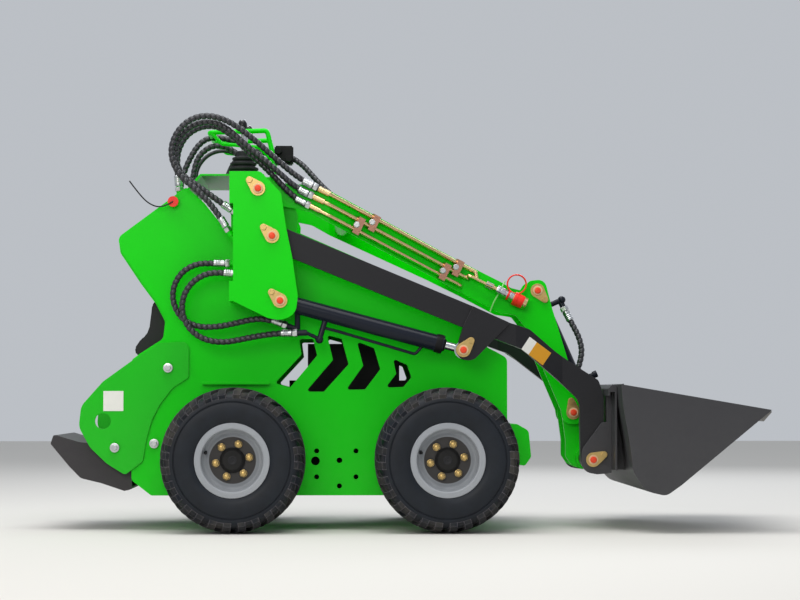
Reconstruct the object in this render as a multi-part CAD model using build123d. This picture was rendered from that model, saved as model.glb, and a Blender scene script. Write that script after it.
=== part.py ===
from build123d import *
import os
from math import atan2, cos, degrees, hypot, radians, sin, tan

# Compact skid steer loader, stand-on type. Millimetres, X forward, Y to the machine's left, Z up.
# Places below are measured from the rear axle in X, the machine's middle in Y and the ground in Z.
# MID_X is half way between the back of the step and the bucket's cutting edge.
X_STEP_BACK = -592.0
X_EDGE_TIP = 1684.0
MID_X = (X_STEP_BACK + X_EDGE_TIP) / 2

# Pivots of the loader linkage: (X, Z)
PIN_A = (75.5, 1085.0)      # boom on the tower
PIN_B = (120.0, 935.0)      # lift arm on the tower
PIN_L = (146.0, 730.0)      # lift cylinder on the tower
PIN_R = (726.0, 575.0)      # lift cylinder rod on the lift arm
PIN_T = (986.0, 776.0)      # tilt cylinder on the boom
PIN_D = (1147.5, 225.0)     # hitch and front link on the lift arm
PIN_C = (PIN_D[0] - PIN_B[0] + PIN_A[0], PIN_D[1] - PIN_B[1] + PIN_A[1])
PIN_E = (1152.0, 399.0)     # tilt cylinder rod on the hitch
RUN = 0.05                  # radial play of a pin in what turns on it

# Wheels
WHEELBASE = 672.0
TYRE_R = 228.5
TYRE_OUT = 522.0
TYRE_IN = 306.0
RIM_FLANGE_R = 117.5
RIM_SEAT_R = 101.5
RIM_WELL_R = 84.0
RIM_T = 5.0
DISC_FLAT_R = 73.0
DISC_Y = 468.0
HUB_R = 39.5
HUB_OUT = 481.0
HUB_FLANGE_R = 68.0
STUD_PCR = 53.5
STUDS = 6
MOTOR_R = 62.0
MOTOR_OUT = 352.0
SHAFT_R = 20.0
SHAFT_OUT = 400.0

# Chassis, half widths
SIDE_OUT = 280.0
SIDE_T = 8.0
SIDE_IN = SIDE_OUT - SIDE_T
FLOOR_Z = 111.0
FRONT_X = 873.0
REAR_X = -331.0
GUARD_T = 8.0
TOWER_OUT = 410.0
TOWER_T = 8.0
TOWER_REAR_X = -15.0
WEB_X = 12.0

# Lift arm, boom and link, half widths
ARM_IN, ARM_OUT = 345.0, 385.0
ARM_FRONT_IN, ARM_FRONT_OUT = 245.0, 280.0
ARM_JOG_X0, ARM_JOG_X1 = 892.0, 1052.0
ARM_HALF_DEPTH = 40.0
ARM_SLOPE = -22.5
EAR_T = 8.0
BOOM_REAR_OUT, BOOM_FRONT_OUT = 312.0, 107.0
BOOM_T = 12.0
BOOM_TAPER_X0, BOOM_TAPER_X1 = 300.0, 738.0
BOOM_SLOPE = 0.4975         # fall of the boom's top edge per length
BOOM_TOP = (271.0, 1102.0)  # where that edge starts
LINK_IN, LINK_OUT = 72.0, 88.0
CYL_Y = 365.0

# Pins
PIN_R_BIG = 17.0
PIN_R_SMALL = 15.0
BUSH_WALL = 5.0
CROSS_TUBE_R = 28.0

# Hitch and bucket
HITCH_X0, HITCH_X1 = 1192.0, 1207.0
EAR_IN, EAR_OUT = 285.0, 297.0
WINDOW_IN, WINDOW_OUT = 62.0, 118.0
BUCKET_HALF = 522.0
BUCKET_T = 8.0
MOUNT_X1 = 1213.0
MOUNT_HALF = 400.0


def rounded(rows, closed=True):
    """Straight runs joined by tangent arcs. Each row is a point and then its corner radius."""
    pts = [Vector(*r[:-1]) for r in rows]
    radii = [r[-1] for r in rows]
    n = len(pts)
    starts, ends, arcs = [None] * n, [None] * n, []
    for i, p in enumerate(pts):
        if radii[i] <= 0 or (not closed and i in (0, n - 1)):
            starts[i] = ends[i] = p
            continue
        into = (p - pts[i - 1]).normalized()
        out = (pts[(i + 1) % n] - p).normalized()
        half = radians(into.get_angle(out)) / 2
        if half < 0.002:
            starts[i] = ends[i] = p
            continue
        back = radii[i] * tan(half)
        starts[i], ends[i] = p - into * back, p + out * back
        middle = p + (out - into).normalized() * (radii[i] / cos(half) - radii[i])
        arcs.append((i, middle))
    edges = []
    arc_at = dict(arcs)
    for i in range(n):
        if i in arc_at:
            edges.append(ThreePointArc(starts[i], arc_at[i], ends[i]))
        if i < n - 1 or closed:
            a, b = ends[i], starts[(i + 1) % n]
            if (b - a).length > 0.01:
                edges.append(Line(a, b))
    return edges


def outline(rows):
    """Face in the sketch plane from (x, z, corner radius) rows, given in either direction round."""
    turn = sum(a[0] * b[1] - b[0] * a[1] for a, b in zip(rows, rows[1:] + rows[:1]))
    rows = rows if turn > 0 else rows[::-1]
    return make_face(rounded([(x, z, 0, r) for x, z, r in rows]))


def across(face, y0, y1):
    """Side-view face filled from y0 to y1."""
    lo, hi = min(y0, y1), max(y0, y1)
    return extrude(Plane.XZ.offset(-hi) * face, hi - lo, dir=(0, -1, 0))


def both(face, y0, y1):
    """The same slab on both sides of the machine."""
    return across(face, y0, y1) + across(face, -y0, -y1)


def disc(at, r, y0, y1):
    """Round bar across the machine, centred on an (x, z) place."""
    return across(Pos(at[0], at[1]) * Circle(r), y0, y1)


def ring(at, r_out, r_in, y0, y1):
    return across(Pos(at[0], at[1]) * (Circle(r_out) - Circle(r_in)), y0, y1)


def bar(p, q, r):
    """Round bar from p to q."""
    p, q = Vector(*p), Vector(*q)
    return extrude(Plane(origin=p, z_dir=(q - p).normalized()) * Circle(r), (q - p).length)


def pipe(rows, r):
    """Round section swept along straight runs and tangent arcs."""
    path = Wire(rounded(rows, closed=False))
    return sweep(Plane(origin=path @ 0, z_dir=path % 0) * Circle(r), path)


def mirrored(part):
    return mirror(part, about=Plane.XZ)


def polar(at, r, angle):
    return (at[0] + r * cos(radians(angle)), at[1] + r * sin(radians(angle)))


def retainer(at, bolt_angle, y_face, side, reach=38.0):
    """Teardrop keeper plate with its bolt and the domed grease cap, on the outer face of a pin."""
    bolt = polar(at, reach, bolt_angle)
    tear = make_hull((Pos(*at) * Circle(23)).edges() + (Pos(*bolt) * Circle(11)).edges())
    plate = across(tear, side * y_face, side * (y_face + 6))
    head = across(Pos(*bolt) * RegularPolygon(9.5, 6), side * (y_face + 6), side * (y_face + 13))
    collar = disc(at, 15, side * (y_face + 6), side * (y_face + 10))
    cap = disc(at, 9, side * (y_face + 10), side * (y_face + 17))
    cap = fillet(cap.faces().sort_by(Axis.Y)[-1 if side > 0 else 0].edges(), 4)
    return plate + head + collar + cap


nodes = {}

BEND_SHARE = 0.45           # part of the shorter run that a bend takes up


def cord(name, points, r):
    """Hose along its points, each bend as large as its two runs allow."""
    rows, bends = [(*points[0], 0)], []
    for a, b, c in zip(points, points[1:], points[2:]):
        into, out = Vector(*b) - Vector(*a), Vector(*c) - Vector(*b)
        half = radians(into.get_angle(out)) / 2
        bends.append(BEND_SHARE * min(into.length, out.length) / tan(half))
        rows.append((*b, bends[-1]))
    rows.append((*points[-1], 0))
    print(name, "bend radii", [round(b) for b in bends])
    return pipe(rows, r)


def stub(near, end, length, r):
    """Round bar that carries on past a hose's end point, away from the point near it."""
    away = (Vector(*end) - Vector(*near)).normalized()
    return bar(end, Vector(*end) + away * length, r)


# ---------------------------------------------------------------- wheels
def wheel_parts(x_axle):
    """Tyre, rim and hub about the axle, right-hand side."""
    to_axle = Plane(origin=(x_axle, 0, TYRE_R), x_dir=(1, 0, 0), z_dir=(0, 0, 1))
    axis = Axis((x_axle, 0, TYRE_R), (0, 1, 0))

    def turned(rows):
        face = to_axle * outline([(r, -y, k) for r, y, k in rows])
        return revolve(face, axis)

    tyre_solid = turned([
        (RIM_SEAT_R, 326, 5), (RIM_FLANGE_R + 3, 313, 12), (168, TYRE_IN, 60), (212, 309, 16),
        (224, 326, 16), (TYRE_R, 414, 250), (224, 502, 16), (212, 519, 16),
        (168, TYRE_OUT, 60), (RIM_FLANGE_R + 3, 515, 12), (RIM_SEAT_R, 502, 5)])
    rim = turned([
        (RIM_FLANGE_R, 320, 2), (RIM_FLANGE_R, 312, 2), (RIM_SEAT_R - RIM_T, 312, 6), (RIM_SEAT_R - RIM_T, 352, 6),
        (RIM_WELL_R - RIM_T, 368, 6), (RIM_WELL_R - RIM_T, 448, 6), (DISC_FLAT_R, DISC_Y - 8, 6),
        (HUB_R + 0.0, DISC_Y - 8, 0), (HUB_R + 0.0, DISC_Y, 0), (DISC_FLAT_R + 1, DISC_Y, 8),
        (RIM_WELL_R + 4, 462, 8), (RIM_SEAT_R - RIM_T, 476, 6), (RIM_SEAT_R - RIM_T, 516, 6),
        (RIM_FLANGE_R, 516, 2), (RIM_FLANGE_R, 508, 2), (RIM_SEAT_R, 503, 3), (RIM_SEAT_R, 474, 6),
        (RIM_WELL_R + 3, 452, 6), (RIM_WELL_R, 440, 6), (RIM_WELL_R, 372, 6), (RIM_SEAT_R, 350, 6),
        (RIM_SEAT_R, 326, 3)])
    hub = turned([
        (SHAFT_R + RUN, MOTOR_OUT + 6, 0), (34, MOTOR_OUT + 6, 3), (34, 440, 4), (HUB_FLANGE_R, 446, 3),
        (HUB_FLANGE_R, DISC_Y - 8, 3), (HUB_R, DISC_Y - 8, 0), (HUB_R, HUB_OUT - 8, 0), (30, HUB_OUT, 6), (0.0, HUB_OUT, 0), (0.0, SHAFT_OUT + 1, 0), (SHAFT_R + RUN, SHAFT_OUT + 1, 0)])
    nut = across(RegularPolygon(11, 6), -DISC_Y, -(DISC_Y + 12))
    nuts = [Pos(x_axle + STUD_PCR * cos(radians(60 * k + 10)), 0, TYRE_R + STUD_PCR * sin(radians(60 * k + 10))) * nut
            for k in range(STUDS)]
    return tyre_solid - rim, rim + nuts, hub


WHEELS = [("rear_right", 0.0, False), ("front_right", WHEELBASE, False),
          ("rear_left", 0.0, True), ("front_left", WHEELBASE, True)]
for name, x_axle, left in WHEELS:
    for kind, solid in zip(("tyre", "rim", "hub"), wheel_parts(x_axle)):
        nodes[f"{kind}_{name}"] = mirrored(solid) if left else solid

# ---------------------------------------------------------------- routes of the hoses
HOSE_R = 9.0
VALVE_HOSE_R = 6.5
FERRULE_R = 9.6
NECK_R = 7.0

PIPE_R = 6.5
PIPE_STAND = 10.0           # pipe's middle from the boom's outer face, across the machine
PIPE_Y = BOOM_REAR_OUT + PIPE_STAND
# Boom pipes: how far below the top edge, and the two ends
PIPE_RUNS = [(12.0, 266.0, 781.0), (46.0, 248.0, 756.0), (82.0, 235.0, 731.0)]


def boom_line(x, drop):
    """Height of a line that lies below the boom's top edge by drop."""
    return BOOM_TOP[1] - BOOM_SLOPE * (x - BOOM_TOP[0]) - drop


def pipe_start(drop, x, length):
    """First two points of a hose that leaves a boom pipe in line with it."""
    run = length / hypot(1, BOOM_SLOPE)
    return [(x, -PIPE_Y, boom_line(x, drop)), (x - run, -PIPE_Y, boom_line(x - run, drop))]


UPPER_HOSES = [
    pipe_start(12.0, 266.0, 62) + [
        (131, -326, 1186), (44, -338, 1264), (-40, -353, 1318), (-122, -358, 1324), (-184, -361, 1277),
        (-208, -363, 1204), (-180, -366, 1132), (-118, -369, 1082), (-64, -372, 1026), (-27, -374, 966)],
    pipe_start(46.0, 248.0, 58) + [
        (130, -338, 1152), (46, -339, 1220), (-44, -334, 1302), (-114, -333, 1307), (-173, -334, 1270),
        (-197, -335, 1205), (-175, -336, 1137), (-117, -338, 1098), (-62, -340, 1057), (-11, -343, 1023)],
    pipe_start(82.0, 235.0, 54) + [
        (124, -323, 1132), (46, -311, 1208), (-38, -292, 1290), (-100, -280, 1301), (-157, -268, 1275),
        (-189, -257, 1222), (-191, -249, 1164), (-186, -243, 1108)]]
LOWER_HOSES = [
    [(-21, -336, 851), (-66, -336, 852), (-123, -336, 851), (-170, -335, 824), (-197, -335, 777),
     (-197, -335, 723), (-170, -336, 676), (-123, -339, 649), (-58, -344, 648), (6, -350, 661),
     (66, -354, 675), (116, -357, 671), (158.6, -357, 655)],
    [(-7, -358, 818.4), (-33, -358, 820.5), (-87, -357, 820), (-137, -356, 791), (-166, -356, 741),
     (-166, -356, 683), (-137, -356, 633), (-87, -356, 604), (-27, -358, 599), (32, -360, 611),
     (90, -366, 622), (146, -372, 628), (199, -377, 629)]]
VALVE_HOSE = [(28, 74, 1152), (26, 73, 1201), (-6, 70, 1240), (-57, 66, 1257), (-109, 60, 1241), (-144, 54, 1198),
              (-150, 50, 1150), (-149, 48, 1112)]
TILT_HOSE = [(1080, 0, 728), (1106, -9, 676), (1134, -30, 620), (1141, -47, 560), (1119, -60, 506)]

# ---------------------------------------------------------------- chassis
SIDE_OUTLINE = [
    (-379, 937, 25), (-159, 1101, 12), (-101, 1049, 30), (-17, 943, 60), (60, 956, 40), (198, 956, 10), (689, 744, 10), (808, 586, 40),
    (840, 570, 30), (FRONT_X, 551, 22), (FRONT_X, 339, 0), (905, 339, 12), (942, 318, 20), (950, 233, 16), (930, 205, 10), (FRONT_X, 214, 0),
    (FRONT_X, FLOOR_Z, 6), (-268, FLOOR_Z, 10), (REAR_X, 160, 20), (REAR_X, 545, 10), (-307, 562, 0), (-226, 616, 20),
    (-220, 670, 20), (-249, 725, 30), (-297, 789, 0), (-364, 888, 20)]

# Vents: slanted chevrons, each as its six corners
CHEVRONS = [
    [(205, 612), (249, 612), (262, 559), (176, 457), (127, 470), (212, 562)],
    [(294, 625), (341, 612), (363, 531), (284, 443), (226, 443), (313, 545)],
    [(390, 604), (445, 583), (465, 515), (416, 450), (355, 449), (410, 526)],
    [(506, 549), (551, 529), (565, 489), (539, 458), (482, 456), (516, 500)]]
SIDE_HOLES = [(261, 253, 8), (257, 221, 14), (334, 223, 9), (387, 253, 8), (261, 170, 8), (387, 170, 8), (334, 141, 8)]

side_face = outline(SIDE_OUTLINE)
for corners in CHEVRONS:
    side_face -= outline([(x, z, 6) for x, z in corners])
for x, z, r in SIDE_HOLES:
    side_face -= Pos(x, z) * Circle(r)
side_plate = across(side_face, -SIDE_IN, -SIDE_OUT)
# short lip over the rear wheel
side_plate += across(outline([(-105, 466, 0), (109, 466, 0), (109, 474, 0), (-105, 474, 0)]), -SIDE_OUT, -302)
side_plate += across(Pos(-259, 277) * RegularPolygon(10, 6), -SIDE_OUT, -(SIDE_OUT + 7))
nodes["side_plate_right"] = side_plate
nodes["side_plate_left"] = mirrored(side_plate)

PLATE = 6.0
tub = across(outline([(-262, FLOOR_Z, 0), (FRONT_X, FLOOR_Z, 4), (FRONT_X, 545, 4), (FRONT_X - PLATE, 545, 0),
                      (FRONT_X - PLATE, FLOOR_Z + PLATE, 0), (-262, FLOOR_Z + PLATE, 0)]), -SIDE_IN, SIDE_IN)
tub += across(outline([(REAR_X, 160, 0), (REAR_X + PLATE, 164, 0), (REAR_X + PLATE, 545, 0), (REAR_X, 545, 0)]), -SIDE_IN, SIDE_IN)
tub += across(outline([(REAR_X, 160, 0), (-262, FLOOR_Z, 0), (-262, FLOOR_Z + PLATE, 0), (REAR_X + PLATE, 164, 0)]), -SIDE_IN, SIDE_IN)
tub += across(outline([(FRONT_X, 339, 0), (905, 339, 12), (942, 318, 20), (950, 233, 16), (930, 205, 10), (FRONT_X, 214, 0)]), -SIDE_IN, SIDE_IN)
nodes["chassis_tub"] = tub

# Bonnet: bent sheet over the engine, its top on the line of the side plates' edge
HOOD_T = 4.0
HOOD_TOP = [(150, 952, 0), (202, 952, 20), (690, 741, 20), (806, 584, 20), (862, 552, 0)]
HOOD_UNDER = [(862, 547, 0), (803, 580, 16), (687, 737, 16), (201, 948, 16), (150, 948, 0)]
hood = across(outline(HOOD_TOP + HOOD_UNDER), -SIDE_IN, SIDE_IN)
nodes["hood"] = hood

# Rear wall of the console and its sloping top, one bent sheet
console = across(outline([
    (-330, 547, 0), (-306, 565, 8), (-232, 613, 24), (-226, 668, 24), (-255, 724, 30), (-303, 788, 0), (-370, 888, 20), (-376, 932, 20),
    (-159, 1093, 10), (-116, 1144, 10), (90, 1144, 0), (90, 1138, 0), (-112, 1138, 4), (-155, 1086, 4), (-368, 928, 14), (-362, 890, 14),
    (-296, 792, 0), (-248, 728, 24), (-218, 670, 18), (-224, 608, 18), (-303, 559, 4), (-326, 545, 0)]), -SIDE_IN + 0.0, SIDE_IN - 0.0)
console += stub(UPPER_HOSES[2][-2], UPPER_HOSES[2][-1], 36, FERRULE_R)
console += stub(VALVE_HOSE[-2], VALVE_HOSE[-1], 18, VALVE_HOSE_R + 1) + stub(VALVE_HOSE[1], VALVE_HOSE[0], 10, VALVE_HOSE_R + 1)
nodes["console"] = console

# Engine under the bonnet: block, head and flywheel housing
engine = Pos(380, 0, 330) * Box(420, 300, 300)
engine = fillet(engine.edges().filter_by(Axis.Z), 25)
engine += Pos(380, 0, 540) * Box(300, 240, 120)
engine += Pos(380, 0, 148.5) * Box(380, 260, 63)
engine += bar((120, 0, 340), (172, 0, 340), 110)
nodes["engine"] = engine

GUARD_OUTLINE = [(-240, 599, 10), (-160, 602, 10), (-149, 585, 8), (-149, 488, 10), (-200, 455, 60), (-240, 403, 60), (-266, 352, 60),
                 (-283, 291, 60), (-295, 220, 14), (-351, 177, 14), (-410, 214, 30), (-463, 265, 60), (-499, 330, 50), (-492, 397, 50),
                 (-423, 475, 30), (-332, 541, 20)]
guard_face = outline(GUARD_OUTLINE) - Pos(-422, 349) * Circle(25.5)
guard = across(guard_face, -SIDE_OUT, -(SIDE_OUT + GUARD_T))
for x, z in [(-215, 519), (-384, 264)]:
    guard += across(Pos(x, z) * RegularPolygon(10, 6), -(SIDE_OUT + GUARD_T), -(SIDE_OUT + GUARD_T + 7))
nodes["rear_guards"] = guard + mirrored(guard)

STEP_HALF = 262.0
step_out = [(X_STEP_BACK, 276, 8), (-583, 303, 5), (-575, 304, 5), (-502, 282, 20), (REAR_X - 9, 263.05, 0), (REAR_X - 9, 259, 0), (REAR_X, 258, 0), (REAR_X, 132, 0), (-341, 128, 4),
            (-355, 125, 4), (-429, 150, 30), (-495, 166, 30), (-532, 204, 40)]
step_in = [(X_STEP_BACK + 9, 279, 4), (-577, 296, 3), (-503, 275, 20), (REAR_X, 252, 0), (REAR_X, 140, 0), (-355, 133, 0),
           (-427, 157, 24), (-492, 173, 24), (-526, 208, 30)]
step = across(outline(step_out), -STEP_HALF, STEP_HALF) - across(outline(step_in), -STEP_HALF + 5, STEP_HALF - 5)
nodes["rear_step"] = step

# Towers: outer plate, inner plate and the straps that close them at the back
TOWER_FACE = [(-3, 1140, 6), (83, 1140, 20), (148, 1072, 20), (165, 960, 0), (184, 868, 0), (202, 745, 20), (195, 685, 45), (146, 668, 50),
              (108, 675, 30), (-3, 729, 6)]
TOWER_INNER = [(-15, 1140, 0), (83, 1140, 20), (160, 1100, 20), (200, 1010, 20), (196, 961, 0), (202, 745, 20), (195, 685, 45),
               (146, 668, 50), (108, 675, 30), (-15, 729, 0)]
tower = across(outline(TOWER_FACE), -(TOWER_OUT - TOWER_T), -TOWER_OUT)
tower += across(outline(TOWER_INNER), -SIDE_OUT, -(SIDE_OUT + TOWER_T))
for z0, z1 in [(729, 792), (1039, 1140)]:
    tower += across(outline([(TOWER_REAR_X, z0, 0), (3, z0, 0), (3, z1, 0), (TOWER_REAR_X, z1, 0)]), -SIDE_OUT, -TOWER_OUT)
tower += across(outline([(WEB_X, 740, 0), (WEB_X + 6, 740, 0), (WEB_X + 6, 1100, 0), (WEB_X, 1100, 0)]), -SIDE_OUT, -TOWER_OUT)
tower -= disc(PIN_A, PIN_R_SMALL, -270, -420) + disc(PIN_B, PIN_R_BIG, -270, -420) + disc(PIN_L, PIN_R_SMALL, -270, -420)
# adapters on the web: the lower hoses on both sides, the upper ones on the right
web_side = Pos(WEB_X + 3 - 200, 0, 900) * Box(400, 900, 600)
for points in LOWER_HOSES:
    tower += stub(points[1], points[0], WEB_X + 3 - points[0][0], FERRULE_R) & web_side
nodes["tower_left"] = mirrored(tower)
for points in UPPER_HOSES[:2]:
    tower += (stub(points[-2], points[-1], 34, FERRULE_R) + stub(points[-2], points[-1], 90, NECK_R)) & web_side
nodes["tower_right"] = tower

tower_pins = (disc(PIN_A, PIN_R_SMALL, -SIDE_OUT, -TOWER_OUT) + disc(PIN_B, PIN_R_BIG, -SIDE_OUT, -TOWER_OUT)
              + disc(PIN_L, PIN_R_SMALL, -SIDE_OUT, -TOWER_OUT))
for at in (PIN_A, PIN_B, PIN_L):
    tower_pins += retainer(at, 135, TOWER_OUT, -1)
nodes["tower_pins"] = tower_pins + mirrored(tower_pins)

motors = Part()
for x_axle in (0.0, WHEELBASE):
    motors += disc((x_axle, TYRE_R), MOTOR_R, -SIDE_OUT, -330) + disc((x_axle, TYRE_R), 44, -330, -MOTOR_OUT) + disc((x_axle, TYRE_R), SHAFT_R, -MOTOR_OUT, -SHAFT_OUT)
nodes["wheel_motors"] = motors + mirrored(motors)

# Controls on the console top
BOOT_X, BOOT_Z, BOOT_H = 15.0, 1144.0, 95.0
boot_rows = [(0, 0, 0), (54, 0, 0), (54, 22, 3), (44, 27, 2), (50, 33, 2), (50, 39, 2), (38, 44, 2), (44, 50, 2),
             (44, 56, 2), (32, 61, 2), (37, 67, 2), (37, 73, 2), (24, 78, 2), (22, BOOT_H, 3), (0, BOOT_H, 0)]
nodes["control_boot"] = Pos(BOOT_X, -60, BOOT_Z) * revolve(Plane.XZ * outline(boot_rows), Axis.Z)
levers = Part()
for dy, lean, reach in ((-22, -2, 186), (22, 16, 171)):
    foot, top = (BOOT_X, -60 + dy / 3, BOOT_Z + BOOT_H), (BOOT_X + lean, -60 + dy, BOOT_Z + reach)
    levers += bar(foot, top, 6) + Pos(*top) * Sphere(13)
nodes["control_levers"] = levers - nodes["control_boot"]
nodes["hand_rail"] = pipe([
    (112, -150, BOOT_Z, 0), (112, -150, 1232, 14), (96, -150, 1298, 14), (-92, -150, 1291, 18),
    (-92, 150, 1291, 18), (96, 150, 1298, 14), (112, 150, 1232, 14), (112, 150, BOOT_Z, 0)], 8)
brace = pipe([(-84, -150, 1288, 0), (-52, -150, 1254, 16), (70, -150, 1243, 20), (110, -150, 1204, 0)], 6)
nodes["hand_rail"] += brace + mirrored(brace)
nodes["hand_rail"] += across(outline([(96, BOOT_Z - 6, 0), (124, BOOT_Z - 6, 0), (124, BOOT_Z, 0), (96, BOOT_Z, 0)]), -165, 165)
nodes["hand_rail"] += across(outline([(90, BOOT_Z - 6, 0), (97, BOOT_Z - 6, 0), (97, BOOT_Z, 0), (90, BOOT_Z, 0)]), -165, 165)

nodes["stop_switch"] = bar((-200, -SIDE_OUT, 1052), (-200, -SIDE_OUT - 12, 1052), 12) + bar((-200, -SIDE_OUT - 12, 1052), (-200, -SIDE_OUT - 26, 1052), 17)

# ---------------------------------------------------------------- lift arm
def arm_band():
    """Plan view of one arm: straight, a jog inwards, straight."""
    rows = [(0, ARM_OUT), (ARM_JOG_X0, ARM_OUT), (ARM_JOG_X1, ARM_FRONT_OUT), (1250, ARM_FRONT_OUT),
            (1250, ARM_FRONT_IN), (ARM_JOG_X1 - 8, ARM_FRONT_IN), (ARM_JOG_X0 - 8, ARM_IN), (0, ARM_IN)]
    face = outline([(x, -y, 0) for x, y in rows])
    return extrude(face, 1400, dir=(0, 0, 1))


up = (cos(radians(ARM_SLOPE + 90)), sin(radians(ARM_SLOPE + 90)))
ARM_PROFILE = [
    (PIN_B[0] + up[0] * 40 - 44, PIN_B[1] + up[1] * 40 + 18, 38), (757, 714, 0), (875, 661, 10), (940, 642, 40), (1027, 572, 60), (1111, 516, 60),
    (1168, 480, 22), (1184, 430, 30), (1185, PIN_D[1] - 38, 37), (1110, PIN_D[1] - 38, 37), (1106, 415, 50), (1043, 474, 30), (918, 577, 20),
    (822, 612, 30), (735, 643, 10), (PIN_B[0] - up[0] * 40 - 44, PIN_B[1] - up[1] * 40 + 18, 38)]
arm = across(outline(ARM_PROFILE), -230, -400) & arm_band()
GUSSET = [(757, 714, 0), (875, 661, 6), (758, 541, 31), (695, 548, 31), (727, 651, 0)]
arm += across(outline(GUSSET), -(ARM_OUT), -(ARM_OUT + EAR_T)) + across(outline(GUSSET), -(ARM_IN - EAR_T), -ARM_IN)
arm += ring(PIN_B, 48, 20, -(ARM_IN - 30), -(ARM_OUT + 12))
arm -= disc(PIN_B, PIN_R_BIG + RUN, -300, -420)
arm -= disc(PIN_R, PIN_R_SMALL, -300, -420)
arm -= disc(PIN_D, PIN_R_BIG, -240, -290)
nodes["lift_arm_right"] = arm
nodes["lift_arm_left"] = mirrored(arm)
nodes["arm_cross_tube"] = ring(PIN_D, CROSS_TUBE_R, 20, -ARM_FRONT_IN, ARM_FRONT_IN)

arm_pins = (disc(PIN_D, PIN_R_BIG, -ARM_FRONT_IN, -EAR_OUT) + retainer(PIN_D, 25, EAR_OUT + 1, -1)
            + disc(PIN_D, PIN_R_BIG, -EAR_OUT, -(EAR_OUT + 1)))
arm_pins += retainer(PIN_R, 50, ARM_OUT + EAR_T, -1) + disc(PIN_R, PIN_R_SMALL, -(ARM_OUT), -(ARM_OUT + EAR_T))
arm_pins += disc(PIN_R, PIN_R_SMALL, -(ARM_IN - EAR_T), -ARM_IN)
nodes["arm_pins"] = arm_pins + mirrored(arm_pins)

# ---------------------------------------------------------------- boom
def boom_band():
    """Plan view of one boom plate: parallel at the tower, tapering in, parallel at the nose."""
    rows = [(0, BOOM_REAR_OUT), (BOOM_TAPER_X0, BOOM_REAR_OUT), (BOOM_TAPER_X1, BOOM_FRONT_OUT), (1200, BOOM_FRONT_OUT),
            (1200, BOOM_FRONT_OUT - BOOM_T), (BOOM_TAPER_X1 - 2.5, BOOM_FRONT_OUT - BOOM_T),
            (BOOM_TAPER_X0 - 2.5, BOOM_REAR_OUT - BOOM_T), (0, BOOM_REAR_OUT - BOOM_T)]
    face = outline([(x, -y, 0) for x, y in rows])
    return extrude(face, 1400, dir=(0, 0, 1))


BOOM_PROFILE = [
    (41, 1121, 33), (271, 1102, 120), (864, 805, 40), (898, 785, 20), (937, 775, 20), (958, 808, 20), (1010, 814, 28), (1032, 726, 0),
    (1085, 550, 30), (1141, 395, 0), (1141, 337, 34), (1070, 335, 34), (1062, 383, 0), (1013, 498, 20), (956, 641, 30), (914, 695, 15), (859, 703, 30),
    (630, 823, 0), (300, 985, 60), (238, 1020, 60), (90, 1049, 30), (41, 1049, 33)]
boom = across(outline(BOOM_PROFILE), 0, -(BOOM_REAR_OUT + 5)) & boom_band()
boom += ring(PIN_A, 34, 12, -(SIDE_OUT + TOWER_T + 2), -(BOOM_REAR_OUT + 30))
boom -= disc(PIN_A, PIN_R_SMALL + RUN, -SIDE_OUT, -TOWER_OUT)
boom -= disc(PIN_T, PIN_R_BIG, 0, -BOOM_REAR_OUT)
boom -= disc(PIN_C, PIN_R_SMALL, 0, -BOOM_REAR_OUT)
nodes["boom_plate_right"] = boom
nodes["boom_plate_left"] = mirrored(boom)

boom_cross = disc((345, 1008), 28, -BOOM_REAR_OUT, BOOM_REAR_OUT) + disc((700, 838), 25, -BOOM_REAR_OUT, BOOM_REAR_OUT)
band_inside = extrude(outline([(x, y, 0) for x, y in [
    (BOOM_TAPER_X0 - 2.5, BOOM_REAR_OUT - BOOM_T), (BOOM_TAPER_X1 - 2.5, BOOM_FRONT_OUT - BOOM_T),
    (BOOM_TAPER_X1 - 2.5, -(BOOM_FRONT_OUT - BOOM_T)), (BOOM_TAPER_X0 - 2.5, -(BOOM_REAR_OUT - BOOM_T))]]), 1400, dir=(0, 0, 1))
hose_block = across(outline([(1084, 478, 0), (1130, 478, 4), (1130, 498, 4), (1084, 498, 0)]), -50, -(BOOM_FRONT_OUT - BOOM_T))
hose_block += stub(TILT_HOSE[-2], TILT_HOSE[-1], 14, FERRULE_R)
nodes["boom_cross_members"] = (boom_cross & band_inside) + hose_block + across(outline([(905, 742, 0), (913, 748, 0), (962, 668, 0), (954, 662, 0)]), -(BOOM_FRONT_OUT - BOOM_T), BOOM_FRONT_OUT - BOOM_T)

boom_pins = disc(PIN_T, PIN_R_BIG, -BOOM_FRONT_OUT, BOOM_FRONT_OUT)
boom_pins += both(Pos(*PIN_C) * Circle(PIN_R_SMALL), LINK_IN - 4, BOOM_FRONT_OUT)
for side in (-1, 1):
    boom_pins += retainer(PIN_T, -50, BOOM_FRONT_OUT, side) + retainer(PIN_C, 100, BOOM_FRONT_OUT, side)
nodes["boom_pins"] = boom_pins

# Three pipes along the boom's right-hand face. The two lower ones turn in through the plate, and the
# upper one drops to the short pipe that carries the quick coupler and its dust cap.
TAPER = atan2(BOOM_REAR_OUT - BOOM_FRONT_OUT, BOOM_TAPER_X1 - BOOM_TAPER_X0)
FALL = degrees(atan2(BOOM_SLOPE, 1))


def boom_half(x):
    """Half width of the boom's outside."""
    return BOOM_REAR_OUT - tan(TAPER) * (min(max(x, BOOM_TAPER_X0), BOOM_TAPER_X1) - BOOM_TAPER_X0)


COUPLER_DROP, COUPLER_STAND = 36.0, 23.0
COUPLER_X = [757.0, 815.0, 838.0, 850.0, 904.0, 946.0]
coupler_y = -(BOOM_FRONT_OUT + COUPLER_STAND)


def on_coupler(x):
    return (x, coupler_y, boom_line(x, COUPLER_DROP))


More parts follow.
